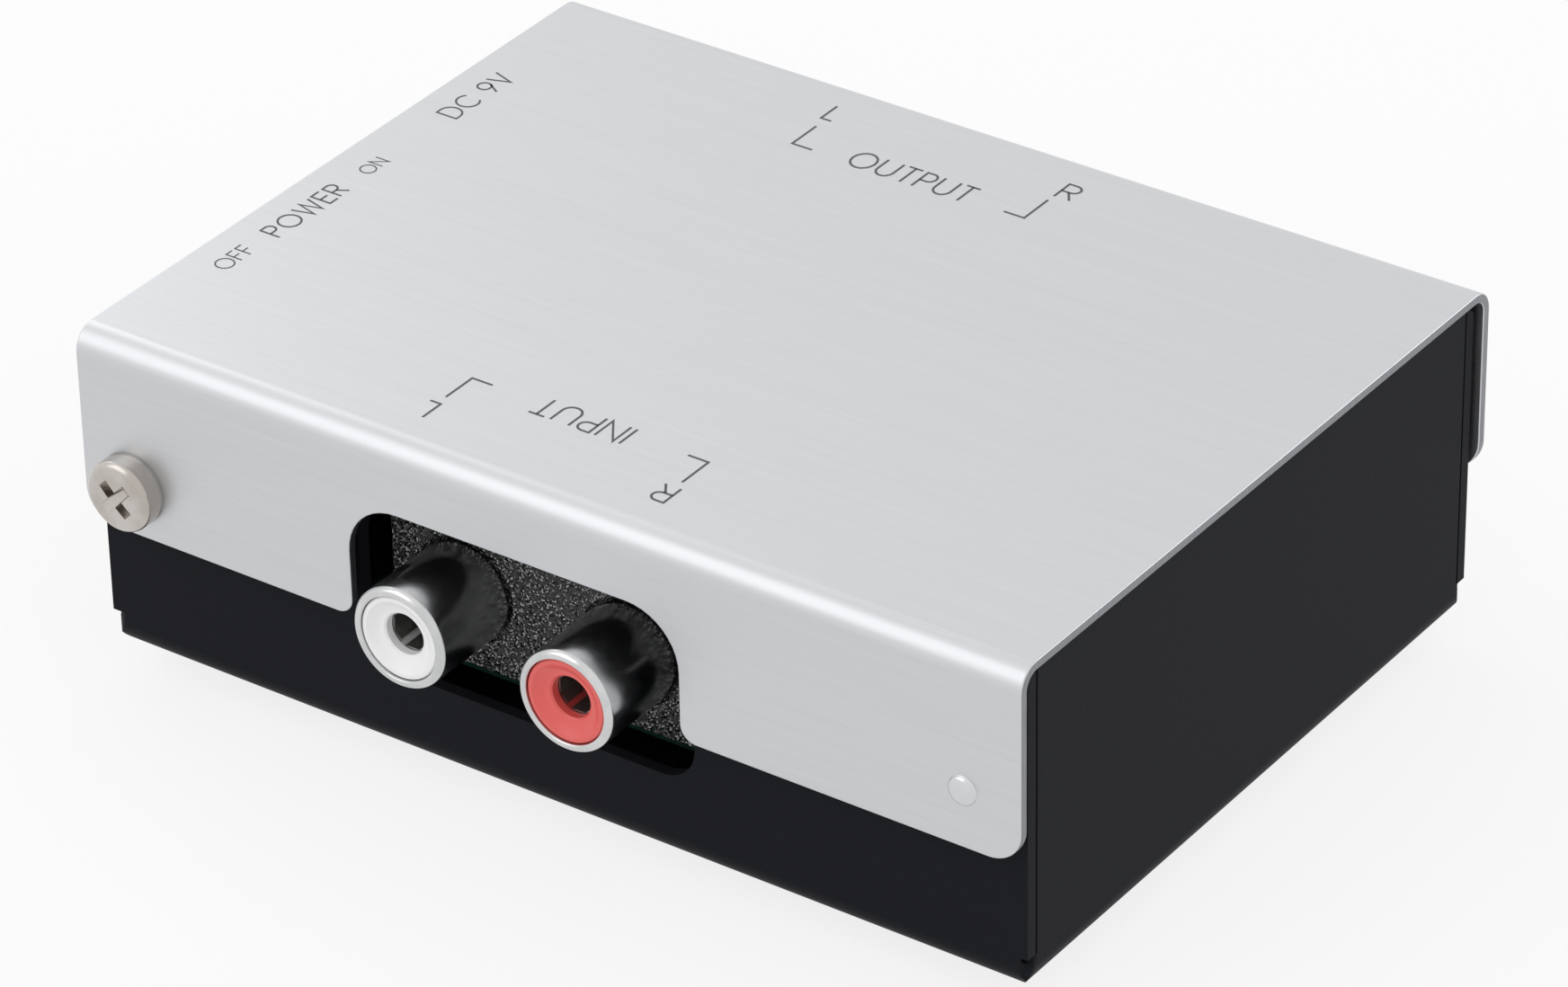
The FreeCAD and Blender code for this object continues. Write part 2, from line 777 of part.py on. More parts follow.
def flat_sided_bar(flats, x, y0, y1):
    """A bar along Y with flat sides, that far from its axis."""
    corner = flats / math.cos(math.pi / contact_sides)
    turns = [2 * math.pi * (i + 0.5) / contact_sides for i in range(contact_sides)]
    return along_y([(x + corner * math.cos(t), jack_z + corner * math.sin(t), 0) for t in turns], y0, y1)


def jack_contact(x):
    """Centre contact: a slit spring tube, folded from strip, with a flat tail down through the board."""
    front = sleeve_front + insulator_setback + funnel_depth + mouth_length + contact_setback
    tail_y = block_face + block_depth - tail_inset
    rear = tail_y + tail_thickness / 2
    flats = contact_radius * math.cos(math.pi / contact_sides)
    tube = flat_sided_bar(flats, x, front, rear)
    bore = flat_sided_bar(flats - contact_wall, x, front - 1, rear - tail_thickness)
    slit_end = sleeve_back - contact_slit_end
    half = contact_slit / 2
    past = contact_radius + 1
    slit = box(x - half, x + half, front - 1, slit_end, jack_z - past, jack_z + past)
    slit.rotate(V(x, 0, jack_z), V(0, 1, 0), contact_slit_turn)
    tail = box(
        x - tail_width / 2, x + tail_width / 2, rear - tail_thickness, rear, lead_end, jack_z)
    return tube.cut(bore).cut(slit).fuse(tail).removeSplitter()


# Power switch

def switch_bounds():
    x_face = -(wall_inside_x - switch_setback)
    return x_face, x_face + switch_depth, switch_y - switch_length / 2, switch_y + switch_length / 2


def switch_tail_places():
    x_face, x_back, y0, y1 = switch_bounds()
    x = (x_face + x_back) / 2 + switch_tail_offset
    return [(x, switch_y + i * switch_tail_pitch) for i in (-1, 0, 1)]


def switch_frame():
    """Folded steel frame, slotted for the knob, with two ears clinched over the base."""
    x_face, x_back, y0, y1 = switch_bounds()
    z0 = board_top + switch_lift
    z1 = z0 + switch_height
    frame = box(x_face, x_back - frame_ear, y0, y1, z0, z1)
    inside = box(x_face + frame_sheet, x_back, y0 - 1, y1 + 1, z0 + frame_sheet, z1 - frame_sheet)
    slot_half = (knob_width + switch_travel) / 2 + frame_slot_gap
    rise = knob_height / 2 + frame_slot_gap
    slot = box(
        x_face - 1, x_face + 1, switch_y - slot_half, switch_y + slot_half, switch_z - rise, switch_z + rise)
    tail_x = switch_tail_places()[0][0]
    relief = box(tail_x - switch_tail_side, x_back, y0 + frame_ear, y1 - frame_ear, z0 - 1, z0 + 1)
    return cut_all(frame, [inside, slot, relief])


def switch_base():
    """Moulded base that carries the fixed contacts, open towards the knob."""
    x_face, x_back, y0, y1 = switch_bounds()
    z0 = board_top + switch_lift + frame_sheet + base_gap
    z1 = board_top + switch_lift + switch_height - frame_sheet - base_gap
    front = x_face + frame_sheet + base_gap
    body = box(front, x_back, y0 + base_end_gap, y1 - base_end_gap, z0, z1)
    travel_half = (knob_width + switch_travel) / 2 + trough_end
    rise = knob_height / 2 + trough_rise
    trough = box(
        x_face, front + knob_foot + trough_gap,
        switch_y - travel_half, switch_y + travel_half, switch_z - rise, switch_z + rise)
    tools = [trough]
    side = switch_tail_side / 2 + base_gap
    for x, y in switch_tail_places():
        tools.append(box(
            x - side, x + side, y - side, y + side, z0 - 1, z0 + switch_tail_rise + base_gap))
    return cut_all(body, tools)


def switch_tails():
    tails = []
    z_top = board_top + switch_lift + frame_sheet + switch_tail_rise
    half = switch_tail_side / 2
    for x, y in switch_tail_places():
        tails.append(box(x - half, x + half, y - half, y + half, lead_end, z_top))
    return tails


def switch_knob():
    """Knob at OFF, the end of its travel towards the input side."""
    x_face, x_back, y0, y1 = switch_bounds()
    y_mid = switch_y - switch_travel / 2
    tip = -half_width - knob_reach
    foot_start = x_face + frame_sheet + knob_running_gap
    stem = along_x(rectangle(
        y_mid - knob_width / 2, y_mid + knob_width / 2,
        switch_z - knob_height / 2, switch_z + knob_height / 2, -knob_corner),
        tip, foot_start)
    half_length = knob_width / 2 + knob_foot_end
    half_rise = knob_height / 2 + knob_foot_rise
    foot = box(
        foot_start, foot_start + knob_foot,
        y_mid - half_length, y_mid + half_length, switch_z - half_rise, switch_z + half_rise)
    # Three grip grooves across the fingertip face
    grooves = []
    for i in (-1, 0, 1):
        y = y_mid + i * grip_pitch
        grooves.append(along_z([
            (tip - 0.1, y - grip_half_width, 0),
            (tip + grip_depth, y, 0),
            (tip - 0.1, y + grip_half_width, 0),
        ], switch_z - knob_height, switch_z + knob_height))
    return cut_all(stem.fuse(foot), grooves).removeSplitter()


# DC inlet

def inlet_tail_places():
    x_face = -(wall_inside_x - inlet_setback)
    x_back = x_face + inlet_length
    return [(x_back - inlet_tail_back, inlet_y), (x_back - inlet_tail_front, inlet_y)]


def inlet_body():
    """Moulded socket: a square nose, a lower body behind it, bored for the plug's barrel."""
    x_face = -(wall_inside_x - inlet_setback)
    x_back = x_face + inlet_length
    y0 = inlet_y - inlet_width / 2
    y1 = inlet_y + inlet_width / 2
    top = board_top + inlet_height
    nose = along_x(rectangle(y0, y1, board_top, top, -inlet_nose_corner), x_face, x_face + inlet_shoulder)
    shoulder = top - inlet_body_drop
    near = y0 + inlet_body_side
    far = y1 - inlet_body_side
    rear = along_x([
        (near, board_top, 0), (far, board_top, 0),
        (far, shoulder, inlet_body_corner), (near, shoulder, inlet_body_corner),
    ], x_face + inlet_shoulder / 2, x_back)
    bore = rod(inlet_bore, (x_face - 1, inlet_y, inlet_z), (x_face + inlet_bore_depth, inlet_y, inlet_z))
    pin_seat = rod(
        inlet_pin_radius + fit_clearance,
        (x_face + inlet_bore_depth - 1, inlet_y, inlet_z), (x_back + 1, inlet_y, inlet_z))
    tools = [bore, pin_seat]
    leaf_x = inlet_tail_places()[1][0]
    half = inlet_leaf_width / 2 + inlet_leaf_gap
    tools.append(box(
        leaf_x - inlet_leaf_length - inlet_leaf_gap, leaf_x + inlet_tail_sheet / 2 + inlet_leaf_gap,
        inlet_y - half, inlet_y + half, board_top - 1, inlet_z - inlet_bore + 1))
    return cut_all(nose.fuse(rear), tools)


def inlet_pin():
    """Centre pin with a bevelled nose, riveted to a flat tail behind the body."""
    x_face = -(wall_inside_x - inlet_setback)
    x_back = x_face + inlet_length
    nose = x_face + inlet_bore_depth - inlet_pin_length
    shaft = rod(inlet_pin_radius, (nose, inlet_y, inlet_z), (x_back + inlet_pin_head, inlet_y, inlet_z))
    rim = [edge for edge in shaft.Edges if abs(edge.CenterOfMass.x - nose) < 1e-6]
    shaft = shaft.makeChamfer(inlet_pin_bevel, rim)
    plate_x = x_back + inlet_plate_gap
    half = inlet_plate_side / 2
    plate = box(
        plate_x, plate_x + inlet_plate_sheet, inlet_y - half, inlet_y + half,
        board_top + inlet_plate_sheet, inlet_z + half)
    return shaft.fuse(plate).removeSplitter()


def inlet_leaf():
    """Spring leaf that touches the plug's barrel from below."""
    leaf_x = inlet_tail_places()[1][0]
    z_touch = inlet_z - inlet_bore - inlet_plate_gap
    half = inlet_leaf_width / 2
    strip = box(
        leaf_x - inlet_leaf_length, leaf_x + inlet_leaf_sheet / 2, inlet_y - half, inlet_y + half,
        z_touch - inlet_leaf_sheet, z_touch)
    tail = box(
        leaf_x - inlet_leaf_sheet / 2, leaf_x + inlet_leaf_sheet / 2, inlet_y - half, inlet_y + half,
        lead_end, z_touch)
    return strip.fuse(tail).removeSplitter()


# Board-mounted parts

def chip_body():
    """Eight-lead amplifier chip: drafted sides and an index notch at one end."""
    z0 = board_top + chip_lift
    z_mid = z0 + chip_height / 2
    z1 = z0 + chip_height
    half_y = chip_length / 2
    half_x = chip_width / 2

    def section(z, inset):
        return Part.makePolygon([
            V(jack_center_x - half_x + inset, -half_y + inset, z),
            V(jack_center_x + half_x - inset, -half_y + inset, z),
            V(jack_center_x + half_x - inset, half_y - inset, z),
            V(jack_center_x - half_x + inset, half_y - inset, z),
            V(jack_center_x - half_x + inset, -half_y + inset, z),
        ])

    lower = Part.makeLoft([section(z0, chip_draft), section(z_mid, 0)], True, True)
    upper = Part.makeLoft([section(z_mid, 0), section(z1, chip_draft)], True, True)
    notch = rod(
        chip_notch_radius, (jack_center_x, -half_y, z1 - chip_notch_depth), (jack_center_x, -half_y, z1 + 1))
    return lower.fuse(upper).cut(notch)


def chip_leads():
    """Leads that leave the chip's waist, bend down and go through the board."""
    z_mid = board_top + chip_lift + chip_height / 2
    leads = []
    for x, y in chip_lead_places():
        side = 1 if x > jack_center_x else -1
        start = jack_center_x + side * (chip_width / 2 + chip_lead_gap)
        bend = x + side * chip_lead_thickness / 2
        inner = x - side * chip_lead_thickness / 2
        z_top = z_mid + chip_lead_thickness / 2
        z_low = z_mid - chip_lead_thickness / 2
        leads.append(along_y([
            (start, z_top, 0), (bend, z_top, -chip_lead_thickness), (bend, lead_end, 0),
            (inner, lead_end, 0), (inner, z_low, 0), (start, z_low, 0),
        ], y - chip_lead_width / 2, y + chip_lead_width / 2))
    return leads


def wire_lead(x, y, top):
    """A tinned lead from inside a component's body to below the board."""
    half = lead_width / 2
    return box(x - half, x + half, y - half, y + half, lead_end, top)


def film_capacitors():
    parts = []
    for x, y in film_places():
        z0 = board_top + film_lift
        body = box(
            x - film_length / 2, x + film_length / 2, y - film_thickness / 2, y + film_thickness / 2,
            z0, z0 + film_height)
        upper = [edge for edge in body.Edges if edge.CenterOfMass.z > z0 + film_height / 4]
        body = body.makeChamfer(film_bevel, upper)
        leads = [wire_lead(x + side * film_pitch / 2, y, z0 + lead_grip) for side in (-1, 1)]
        parts.append(body.fuse(leads))
    return parts


def electrolytic(x, y, radius, height):
    """Aluminium can with two leads."""
    z0 = board_top + can_lift
    body = rod(radius, (x, y, z0), (x, y, z0 + height))
    leads = [wire_lead(lead_x, lead_y, z0 + lead_grip) for lead_x, lead_y in can_leads([(x, y)], radius)]
    return body.fuse(leads)


def chip_resistors():
    parts = []
    for side in (-1, 1):
        for offset in resistor_offsets_x:
            for y in resistor_rows_y:
                x = jack_center_x + side * offset
                parts.append(box(
                    x - resistor_length / 2, x + resistor_length / 2,
                    y - resistor_width / 2, y + resistor_width / 2,
                    board_top, board_top + resistor_height))
    return parts


def diode():
    x, y = diode_place
    half = diode_length / 2
    z1 = board_top + diode_height
    body = box(x - half, x + half, y - diode_width / 2, y + diode_width / 2, board_top + diode_lift, z1)
    upper = [edge for edge in body.Edges if edge.CenterOfMass.z > z1 - diode_lift]
    body = body.makeChamfer(diode_bevel, upper)
    left_foot = x - half - diode_foot_reach
    right_foot = x + half + diode_foot_reach - diode_foot_length
    feet = [
        box(x0, x0 + diode_foot_length, y - diode_foot_width / 2, y + diode_foot_width / 2,
            board_top, board_top + diode_foot_sheet)
        for x0 in (left_foot, right_foot)
    ]
    return body.fuse(feet)


def regulator():
    """Small three-lead regulator: a round body with one flat side."""
    x, y = regulator_place
    z0 = board_top + regulator_lift
    body = rod(regulator_radius, (x, y, z0), (x, y, z0 + regulator_height))
    past = 2 * regulator_radius
    flat = box(x - past, x + past, y - past, y - regulator_flat, z0 - 1, z0 + regulator_height + 1)
    leads = [wire_lead(x + i * regulator_pitch, y, z0 + lead_grip) for i in (-1, 0, 1)]
    return body.cut(flat).fuse(leads)


# Writing the nodes

def save(name, solids):
    pieces = solids if isinstance(solids, list) else [solids]
    plain = []
    for piece in pieces:
        plain += piece.Solids
    shape = plain[0] if len(plain) == 1 else Part.makeCompound(plain)
    assert shape.isValid(), name
    shape.exportStep("parts/" + name + ".step")
    print(name, len(plain), "solids", len(shape.Faces), "faces", round(shape.Volume, 1), "mm3")


def main():
    os.makedirs("parts", exist_ok=True)
    left_x = jack_center_x + jack_offsets[0]
    right_x = jack_center_x + jack_offsets[1]
    save("top_cover", top_cover())
    save("base_tray", base_tray())
    save("cover_screws", both_ends(cover_screw()))
    save("rubber_feet", rubber_feet())
    save("board_standoffs", [standoff(x, y) for x, y in board_holes])
    save("board_screws", [board_screw(x, y) for x, y in board_holes])
    save("circuit_board", circuit_board())
    sleeves = [jack_sleeve(left_x), jack_sleeve(right_x)]
    contacts = [jack_contact(left_x), jack_contact(right_x)]
    white = jack_insulator(left_x)
    red = jack_insulator(right_x)
    save("input_jack_block", jack_block())
    save("input_jack_sleeves", sleeves)
    save("input_jack_liner_left", white)
    save("input_jack_liner_right", red)
    save("input_jack_contacts", contacts)
    save("output_jack_block", at_back(jack_block()))
    save("output_jack_sleeves", [at_back(piece) for piece in sleeves])
    save("output_jack_liner_left", at_back(red))
    save("output_jack_liner_right", at_back(white))
    save("output_jack_contacts", [at_back(piece) for piece in contacts])
    save("power_switch_frame", switch_frame())
    save("power_switch_base", switch_base())
    save("power_switch_tails", switch_tails())
    save("power_switch_knob", switch_knob())
    save("dc_inlet_body", inlet_body())
    save("dc_inlet_pin", inlet_pin())
    save("dc_inlet_leaf", inlet_leaf())
    save("amplifier_chip_body", chip_body())
    save("amplifier_chip_leads", chip_leads())
    save("film_capacitors", film_capacitors())
    save("coupling_capacitors", [
        electrolytic(x, y, small_can_radius, small_can_height) for x, y in small_can_places()])
    save("supply_capacitors", [
        electrolytic(x, y, large_can_radius, large_can_height) for x, y in large_can_places])
    save("chip_resistors", chip_resistors())
    save("supply_diode", diode())
    save("voltage_regulator", regulator())


main()
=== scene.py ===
import json
import math

import bmesh
import bpy
from mathutils import Matrix, Vector


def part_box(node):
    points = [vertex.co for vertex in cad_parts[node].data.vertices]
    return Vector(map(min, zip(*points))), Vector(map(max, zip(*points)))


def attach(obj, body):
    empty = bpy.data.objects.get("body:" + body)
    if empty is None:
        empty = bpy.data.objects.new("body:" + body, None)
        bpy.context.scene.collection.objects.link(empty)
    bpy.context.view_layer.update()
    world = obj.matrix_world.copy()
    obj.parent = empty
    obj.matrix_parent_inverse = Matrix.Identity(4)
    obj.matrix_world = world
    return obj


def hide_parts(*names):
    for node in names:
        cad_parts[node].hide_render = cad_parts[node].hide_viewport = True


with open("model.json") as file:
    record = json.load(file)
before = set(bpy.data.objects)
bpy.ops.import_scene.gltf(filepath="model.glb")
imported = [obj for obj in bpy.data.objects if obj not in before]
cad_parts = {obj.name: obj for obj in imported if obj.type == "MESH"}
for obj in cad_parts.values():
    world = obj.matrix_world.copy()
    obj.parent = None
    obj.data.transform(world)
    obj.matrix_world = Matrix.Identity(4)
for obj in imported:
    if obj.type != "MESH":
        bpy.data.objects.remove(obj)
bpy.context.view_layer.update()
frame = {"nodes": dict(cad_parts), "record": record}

# Phono preamp: a brushed folded cover over a black folded tray.
# Lengths here are millimetres in the CAD frame, turned to metres when a mesh is made.

MM = 0.001


def span(node):
    """A node's lowest and highest corners, in millimetres."""
    low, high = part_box(node)
    return low / MM, high / MM


cover_low, cover_high = span("top_cover")
block_low, block_high = span("input_jack_block")
screws_low, screws_high = span("cover_screws")
liner_low, liner_high = span("input_jack_liner_left")
output_low, output_high = span("output_jack_block")

# Cover
cover_sheet = 0.78         # the CAD sheet thinned from below, so that its cut edge looks fine
cover_bend = 2.0           # outside radius of the two folds
sheared_edge = 0.13        # rounding of the cover's cut edges
print_film = 0.012         # thickness of the printed legends
flange_corner = 2.8        # rounding of the flanges' lower corners
notch_side = 14.8          # half width of the opening round the jacks
notch_rise = 7.5           # top of the opening above the jack axis
notch_radius = 4.5
notch_flare = 1.4          # rounding where the opening meets the flange's lower edge
input_x = (block_low.x + block_high.x) / 2
output_x = (output_low.x + output_high.x) / 2

# Screws and locating nubs
screw_radius = 2.95
screw_height = 2.0
screw_inset = 2.85         # from the outer end of the CAD screws to their axis
screw_x = (screws_high.x - screws_low.x) / 2 - screw_inset
screw_z = (screws_low.z + screws_high.z) / 2
crown_radius = 2.3         # the nearly flat top of the head
crown_fall = 0.16
head_round = 0.62          # height of the rounding from the crown to the head's side
head_base = 0.12           # the head narrows by this much where it meets the flange
head_base_top = 0.3
head_base_low = 0.24
shank_radius = 1.5
shank_length = 5.0
recess_reach = 1.87        # half length of a blade of the cross recess, at the top
recess_tip = 0.3           # and at the bottom
recess_width = 0.483       # half width at the top
recess_tip_width = 0.294
recess_above = 0.2         # the blades start this far above the crown
recess_depth = 1.5
recess_turns = (45, 135)
nub_x = 37.1
nub_z = screw_z + 0.8
nub_radius = 1.2
nub_height = 0.45
nub_foot = 0.3             # how deep the nub sits in the flange
nub_skirt = 0.02           # its foot is this much wider
nub_skirt_height = 0.01

# Jacks
jack_reach = 7.5           # from the middle of a pair to each jack
jack_z = (liner_low.z + liner_high.z) / 2
block_face = -block_low.y  # how far the moulded block's face is from the middle of the case
sleeve_radius = 4.15
sleeve_seat = 3.95         # radius of the sleeve inside the block
sleeve_inside = 3.75
rim_inside = 3.45          # the rim is rolled in to this radius
rim_round = 0.5
rim_inner_round = 0.18
rim_length = 1.3
tail_side = 0.75           # half width of a solder tail
tail_sheet = 0.4
tail_gap = 0.1             # below the sleeve
liner_step = 1.15          # how far back the liner widens behind the rim
liner_gap = 0.05           # between the liner and the rim
liner_edge = 0.1
pin_hole = 1.7
pin_chamber = 2.05
pin_hole_edge = 0.15
pin_hole_length = 0.65
dish_radius = 3.0
dish_depth = 0.6

# Tray
painted_edge = 0.14        # easing of the tray's painted edges
relief_top = 5.6           # edges below this, round the corner reliefs, stay as they are
sharp_angle = 50           # degrees between the faces of an edge that is eased
shortest_edge = 0.5

# Legends
stroke_width = 0.2
letter_gap = 0.24          # between letters, where a letter is one unit high
sharpest_turn = 0.35       # keeps the corners of a stroke from growing into spikes


class Value:
    """One output of a finish's node. Arithmetic on it adds Math nodes to the finish."""

    def __init__(self, finish, socket):
        self.finish = finish
        self.socket = socket

    def maths(self, operation, *values):
        return self.finish.node("ShaderNodeMath", {"operation": operation}, dict(enumerate(values)))

    def __add__(self, other):
        return self.maths("ADD", self, other)

    def __radd__(self, other):
        return self.maths("ADD", other, self)

    def __rsub__(self, other):
        return self.maths("SUBTRACT", other, self)

    def __mul__(self, other):
        return self.maths("MULTIPLY", self, other)

    def __rmul__(self, other):
        return self.maths("MULTIPLY", other, self)

    def step(self, low, high):
        """0 below low, 1 above high, and a smooth rise between."""
        return self.finish.node("ShaderNodeMapRange", {"interpolation_type": "SMOOTHSTEP"},
                                {"Value": self, "From Min": low, "From Max": high})


class Finish:
    """A material, its Principled shader, and the short calls that its recipe is written in."""

    def __init__(self, name, **shader):
        self.material = bpy.data.materials.new(name)
        self.material.use_nodes = True
        self.tree = self.material.node_tree
        self.tree.nodes.clear()
        self.shader = self.node("ShaderNodeBsdfPrincipled", {}, {})
        self.node("ShaderNodeOutputMaterial", {}, {"Surface": self.shader})
        self.set(**shader)
        metres = self.node("ShaderNodeTexCoord", {}, {}, "Object")
        self.place = self.node("ShaderNodeVectorMath", {"operation": "SCALE"},
                               {"Vector": metres, "Scale": 1 / MM})

    def node(self, kind, settings, values, output=0):
        """Adds a node: its settings first, then the values or links of its sockets."""
        made = self.tree.nodes.new(kind)
        for name, value in settings.items():
            setattr(made, name, value)
        for name, value in values.items():
            socket = made.inputs[name]
            if isinstance(value, Value):
                self.tree.links.new(value.socket, socket)
            else:
                socket.default_value = value
        return Value(self, made.outputs[output]) if made.outputs else made

    def set(self, **sockets):
        """Puts a number, a colour or a link on the shader's own sockets."""
        inputs = self.shader.socket.node.inputs
        for name, value in sockets.items():
            socket = inputs[name.replace("_", " ").title().replace("Ior", "IOR")]
            if isinstance(value, Value):
                self.tree.links.new(value.socket, socket)
            elif isinstance(value, tuple):
                socket.default_value = (*value, 1)
            else:
                socket.default_value = value

    def stretched(self, stretch):
        """The place on the object, in waves instead of millimetres."""
        return self.node("ShaderNodeVectorMath", {"operation": "MULTIPLY"}, {0: self.place, 1: stretch})

    def noise(self, stretch, detail=3.0, roughness=0.5, seed=0.0):
        """Noise from 0 to 1. stretch is how many waves a millimetre holds along X, Y and Z."""
        where = self.node("ShaderNodeVectorMath", {"operation": "ADD"},
                          {0: self.stretched(stretch), 1: (seed, seed, seed)})
        return self.node("ShaderNodeTexNoise", {}, {
            "Vector": where, "Scale": 1.0, "Detail": detail, "Roughness": roughness})

    def cells(self, stretch):
        """Distance to the nearest of scattered points, for grains and pits."""
        return self.node("ShaderNodeTexVoronoi", {"feature": "F1"},
                         {"Vector": self.stretched(stretch), "Scale": 1.0})

    def mix(self, low, high, amount):
        """A colour between two colours."""
        def colour(value):
            return value if isinstance(value, Value) else (*value, 1)
        return self.node("ShaderNodeMix", {"data_type": "RGBA", "clamp_factor": True}, {
            "Factor": amount, 6: colour(low), 7: colour(high)}, 2)

    def relief(self, height, depth):
        """Bumps from a height of 0 to 1, depth millimetres tall, on the shader's Normal."""
        self.set(Normal=self.node("ShaderNodeBump", {}, {
            "Height": height, "Distance": depth * MM, "Strength": 1.0}))


def brushed_cover():
    """Fine hairlines along X in satin anodised metal."""
    f = Finish("brushed_cover", metallic=1.0)
    hair = f.noise((0.10, 8.0, 8.0), 4, 0.6)
    streak = f.noise((0.03, 2.0, 2.0), 2, 0.5, 7.0)
    tone = hair * 0.65 + streak * 0.35
    f.set(Base_Color=f.mix((0.592, 0.604, 0.622), (0.634, 0.644, 0.66), tone.step(0.25, 0.75)))
    f.set(Roughness=0.36 + 0.08 * hair)
    f.relief(hair * 0.7 + streak * 0.3, 0.0018)
    return f.material


def pressed_metal():
    """The cover's metal where the nubs are pressed out, burnished by the die."""
    f = Finish("pressed_metal", metallic=1.0)
    rub = f.noise((1.5, 1.5, 1.5), 3)
    f.set(Base_Color=f.mix((0.60, 0.61, 0.62), (0.68, 0.685, 0.69), rub))
    f.set(Roughness=0.16 + 0.1 * rub)
    return f.material


def cut_edge():
    """The cover's sheared edges, darker than its faces, with marks across the sheet."""
    f = Finish("cut_edge", metallic=1.0)
    marks = f.noise((3.0, 3.0, 0.4), 3)
    f.set(Base_Color=f.mix((0.17, 0.175, 0.19), (0.32, 0.325, 0.34), marks))
    f.set(Roughness=0.28 + 0.2 * marks)
    f.relief(marks, 0.01)
    return f.material


def black_paint():
    """Satin powder coat with a fine orange peel."""
    f = Finish("black_paint", metallic=0.0, specular_ior_level=0.035)
    peel = f.noise((2.2, 2.2, 2.2), 3, 0.55)
    grain = f.noise((9.0, 9.0, 9.0), 2, 0.6, 4.0)
    f.set(Base_Color=f.mix((0.0078, 0.0083, 0.0108), (0.0150, 0.0158, 0.0200), grain))
    f.set(Roughness=0.38 + 0.14 * grain)
    f.relief(peel * 0.6 + grain * 0.4, 0.02)
    return f.material


def plate(name, dull, bright, lowest_roughness):
    """Plated metal with faint polishing marks and a little tarnish."""
    f = Finish(name, metallic=1.0)
    tarnish = f.noise((0.25, 0.25, 0.25), 4, 0.6)
    fine = f.noise((1.5, 1.5, 1.5), 4, 0.6, 5.0)
    f.set(Base_Color=f.mix(dull, bright, tarnish.step(0.35, 0.65)))
    f.set(Roughness=lowest_roughness + 0.12 * fine)
    f.relief(fine, 0.002)
    return f.material


def moulding(name, low, high, grain, depth, rough):
    """Moulded plastic with a grained surface: grain is how many pits a millimetre holds."""
    f = Finish(name, metallic=0.0, specular_ior_level=0.4)
    pits = f.cells((grain, grain, grain))
    haze = f.noise((grain * 0.6, grain * 0.6, grain * 0.6), 3)
    f.set(Base_Color=f.mix(low, high, haze))
    f.set(Roughness=rough + 0.15 * haze)
    f.relief(pits * 0.7 + haze * 0.3, depth)
    return f.material


def spark_moulding():
    """Black moulding with the coarse grain of a spark-eroded mould, and light specks painted into its
    colour as glints.
    """
    f = Finish("black_moulding", metallic=0.0, specular_ior_level=0.5)
    grain = f.cells((2.5, 2.5, 2.5))
    fine = f.cells((4.6, 4.6, 4.6))
    rise = (1 - grain.step(0.05, 0.7)) * 0.75 + (1 - fine.step(0.05, 0.7)) * 0.25
    # Where both grains peak, the base colour turns light grey: painted glints, a painted highlight.
    painted_glint = (1 - fine.step(0.25, 0.5)) * (1 - grain.step(0.35, 0.75))
    f.set(Base_Color=f.mix((0.007, 0.0075, 0.008), (0.70, 0.705, 0.71), painted_glint))
    f.set(Roughness=0.32 - 0.14 * rise)
    f.relief(rise, 0.30)
    return f.material


def liner(name, low, high):
    """Glossy coloured moulding with a faint flow pattern."""
    f = Finish(name, metallic=0.0, coat_weight=0.25)
    flow = f.noise((0.6, 0.6, 0.6), 3)
    f.set(Base_Color=f.mix(low, high, flow))
    f.set(Roughness=0.34 + 0.12 * flow)
    f.relief(flow, 0.02)
    return f.material


def laminate():
    """Green solder mask over glass cloth."""
    f = Finish("board_laminate", metallic=0.0, coat_weight=0.3)
    weave = f.noise((1.5, 1.5, 1.5), 2)
    f.set(Base_Color=f.mix((0.006, 0.030, 0.018), (0.010, 0.042, 0.025), weave))
    f.set(Roughness=0.35 + 0.15 * weave)
    f.relief(weave, 0.02)
    return f.material


def dark_recess():
    """The screw's cross recess, coloured a darker brown than the head."""
    f = Finish("dark_recess", metallic=1.0)
    blotches = f.noise((2.5, 2.5, 2.5), 3)
    f.set(Base_Color=f.mix((0.10, 0.07, 0.045), (0.42, 0.36, 0.30), blotches.step(0.4, 0.65)))
    f.set(Roughness=0.25 + 0.2 * blotches)
    f.relief(blotches, 0.02)
    return f.material


def legend_ink():
    """Thin grey printing, a little uneven."""
    f = Finish("legend_ink", metallic=0.0)
    wear = f.noise((3.0, 3.0, 3.0), 3)
    f.set(Base_Color=f.mix((0.055, 0.058, 0.066), (0.10, 0.105, 0.115), wear))
    f.set(Roughness=0.5 + 0.2 * wear)
    return f.material


finishes = {
    "brushed_cover": brushed_cover(),
    "pressed_metal": pressed_metal(),
    "cut_edge": cut_edge(),
    "black_paint": black_paint(),
    "dark_recess": dark_recess(),
    "black_moulding": spark_moulding(),
    "board_laminate": laminate(),
    "legend_ink": legend_ink(),
}

# Plated metals: dull and bright colour, least roughness
for name, dull, bright, least in (
    ("nickel", (0.46, 0.425, 0.39), (0.56, 0.53, 0.50), 0.16),
    ("nickel_sleeve", (0.57, 0.575, 0.58), (0.66, 0.66, 0.66), 0.15),
    ("zinc_steel", (0.42, 0.43, 0.45), (0.60, 0.60, 0.58), 0.30),
    ("tinned_metal", (0.50, 0.50, 0.49), (0.68, 0.67, 0.65), 0.30),
):
    finishes[name] = plate(name, dull, bright, least)

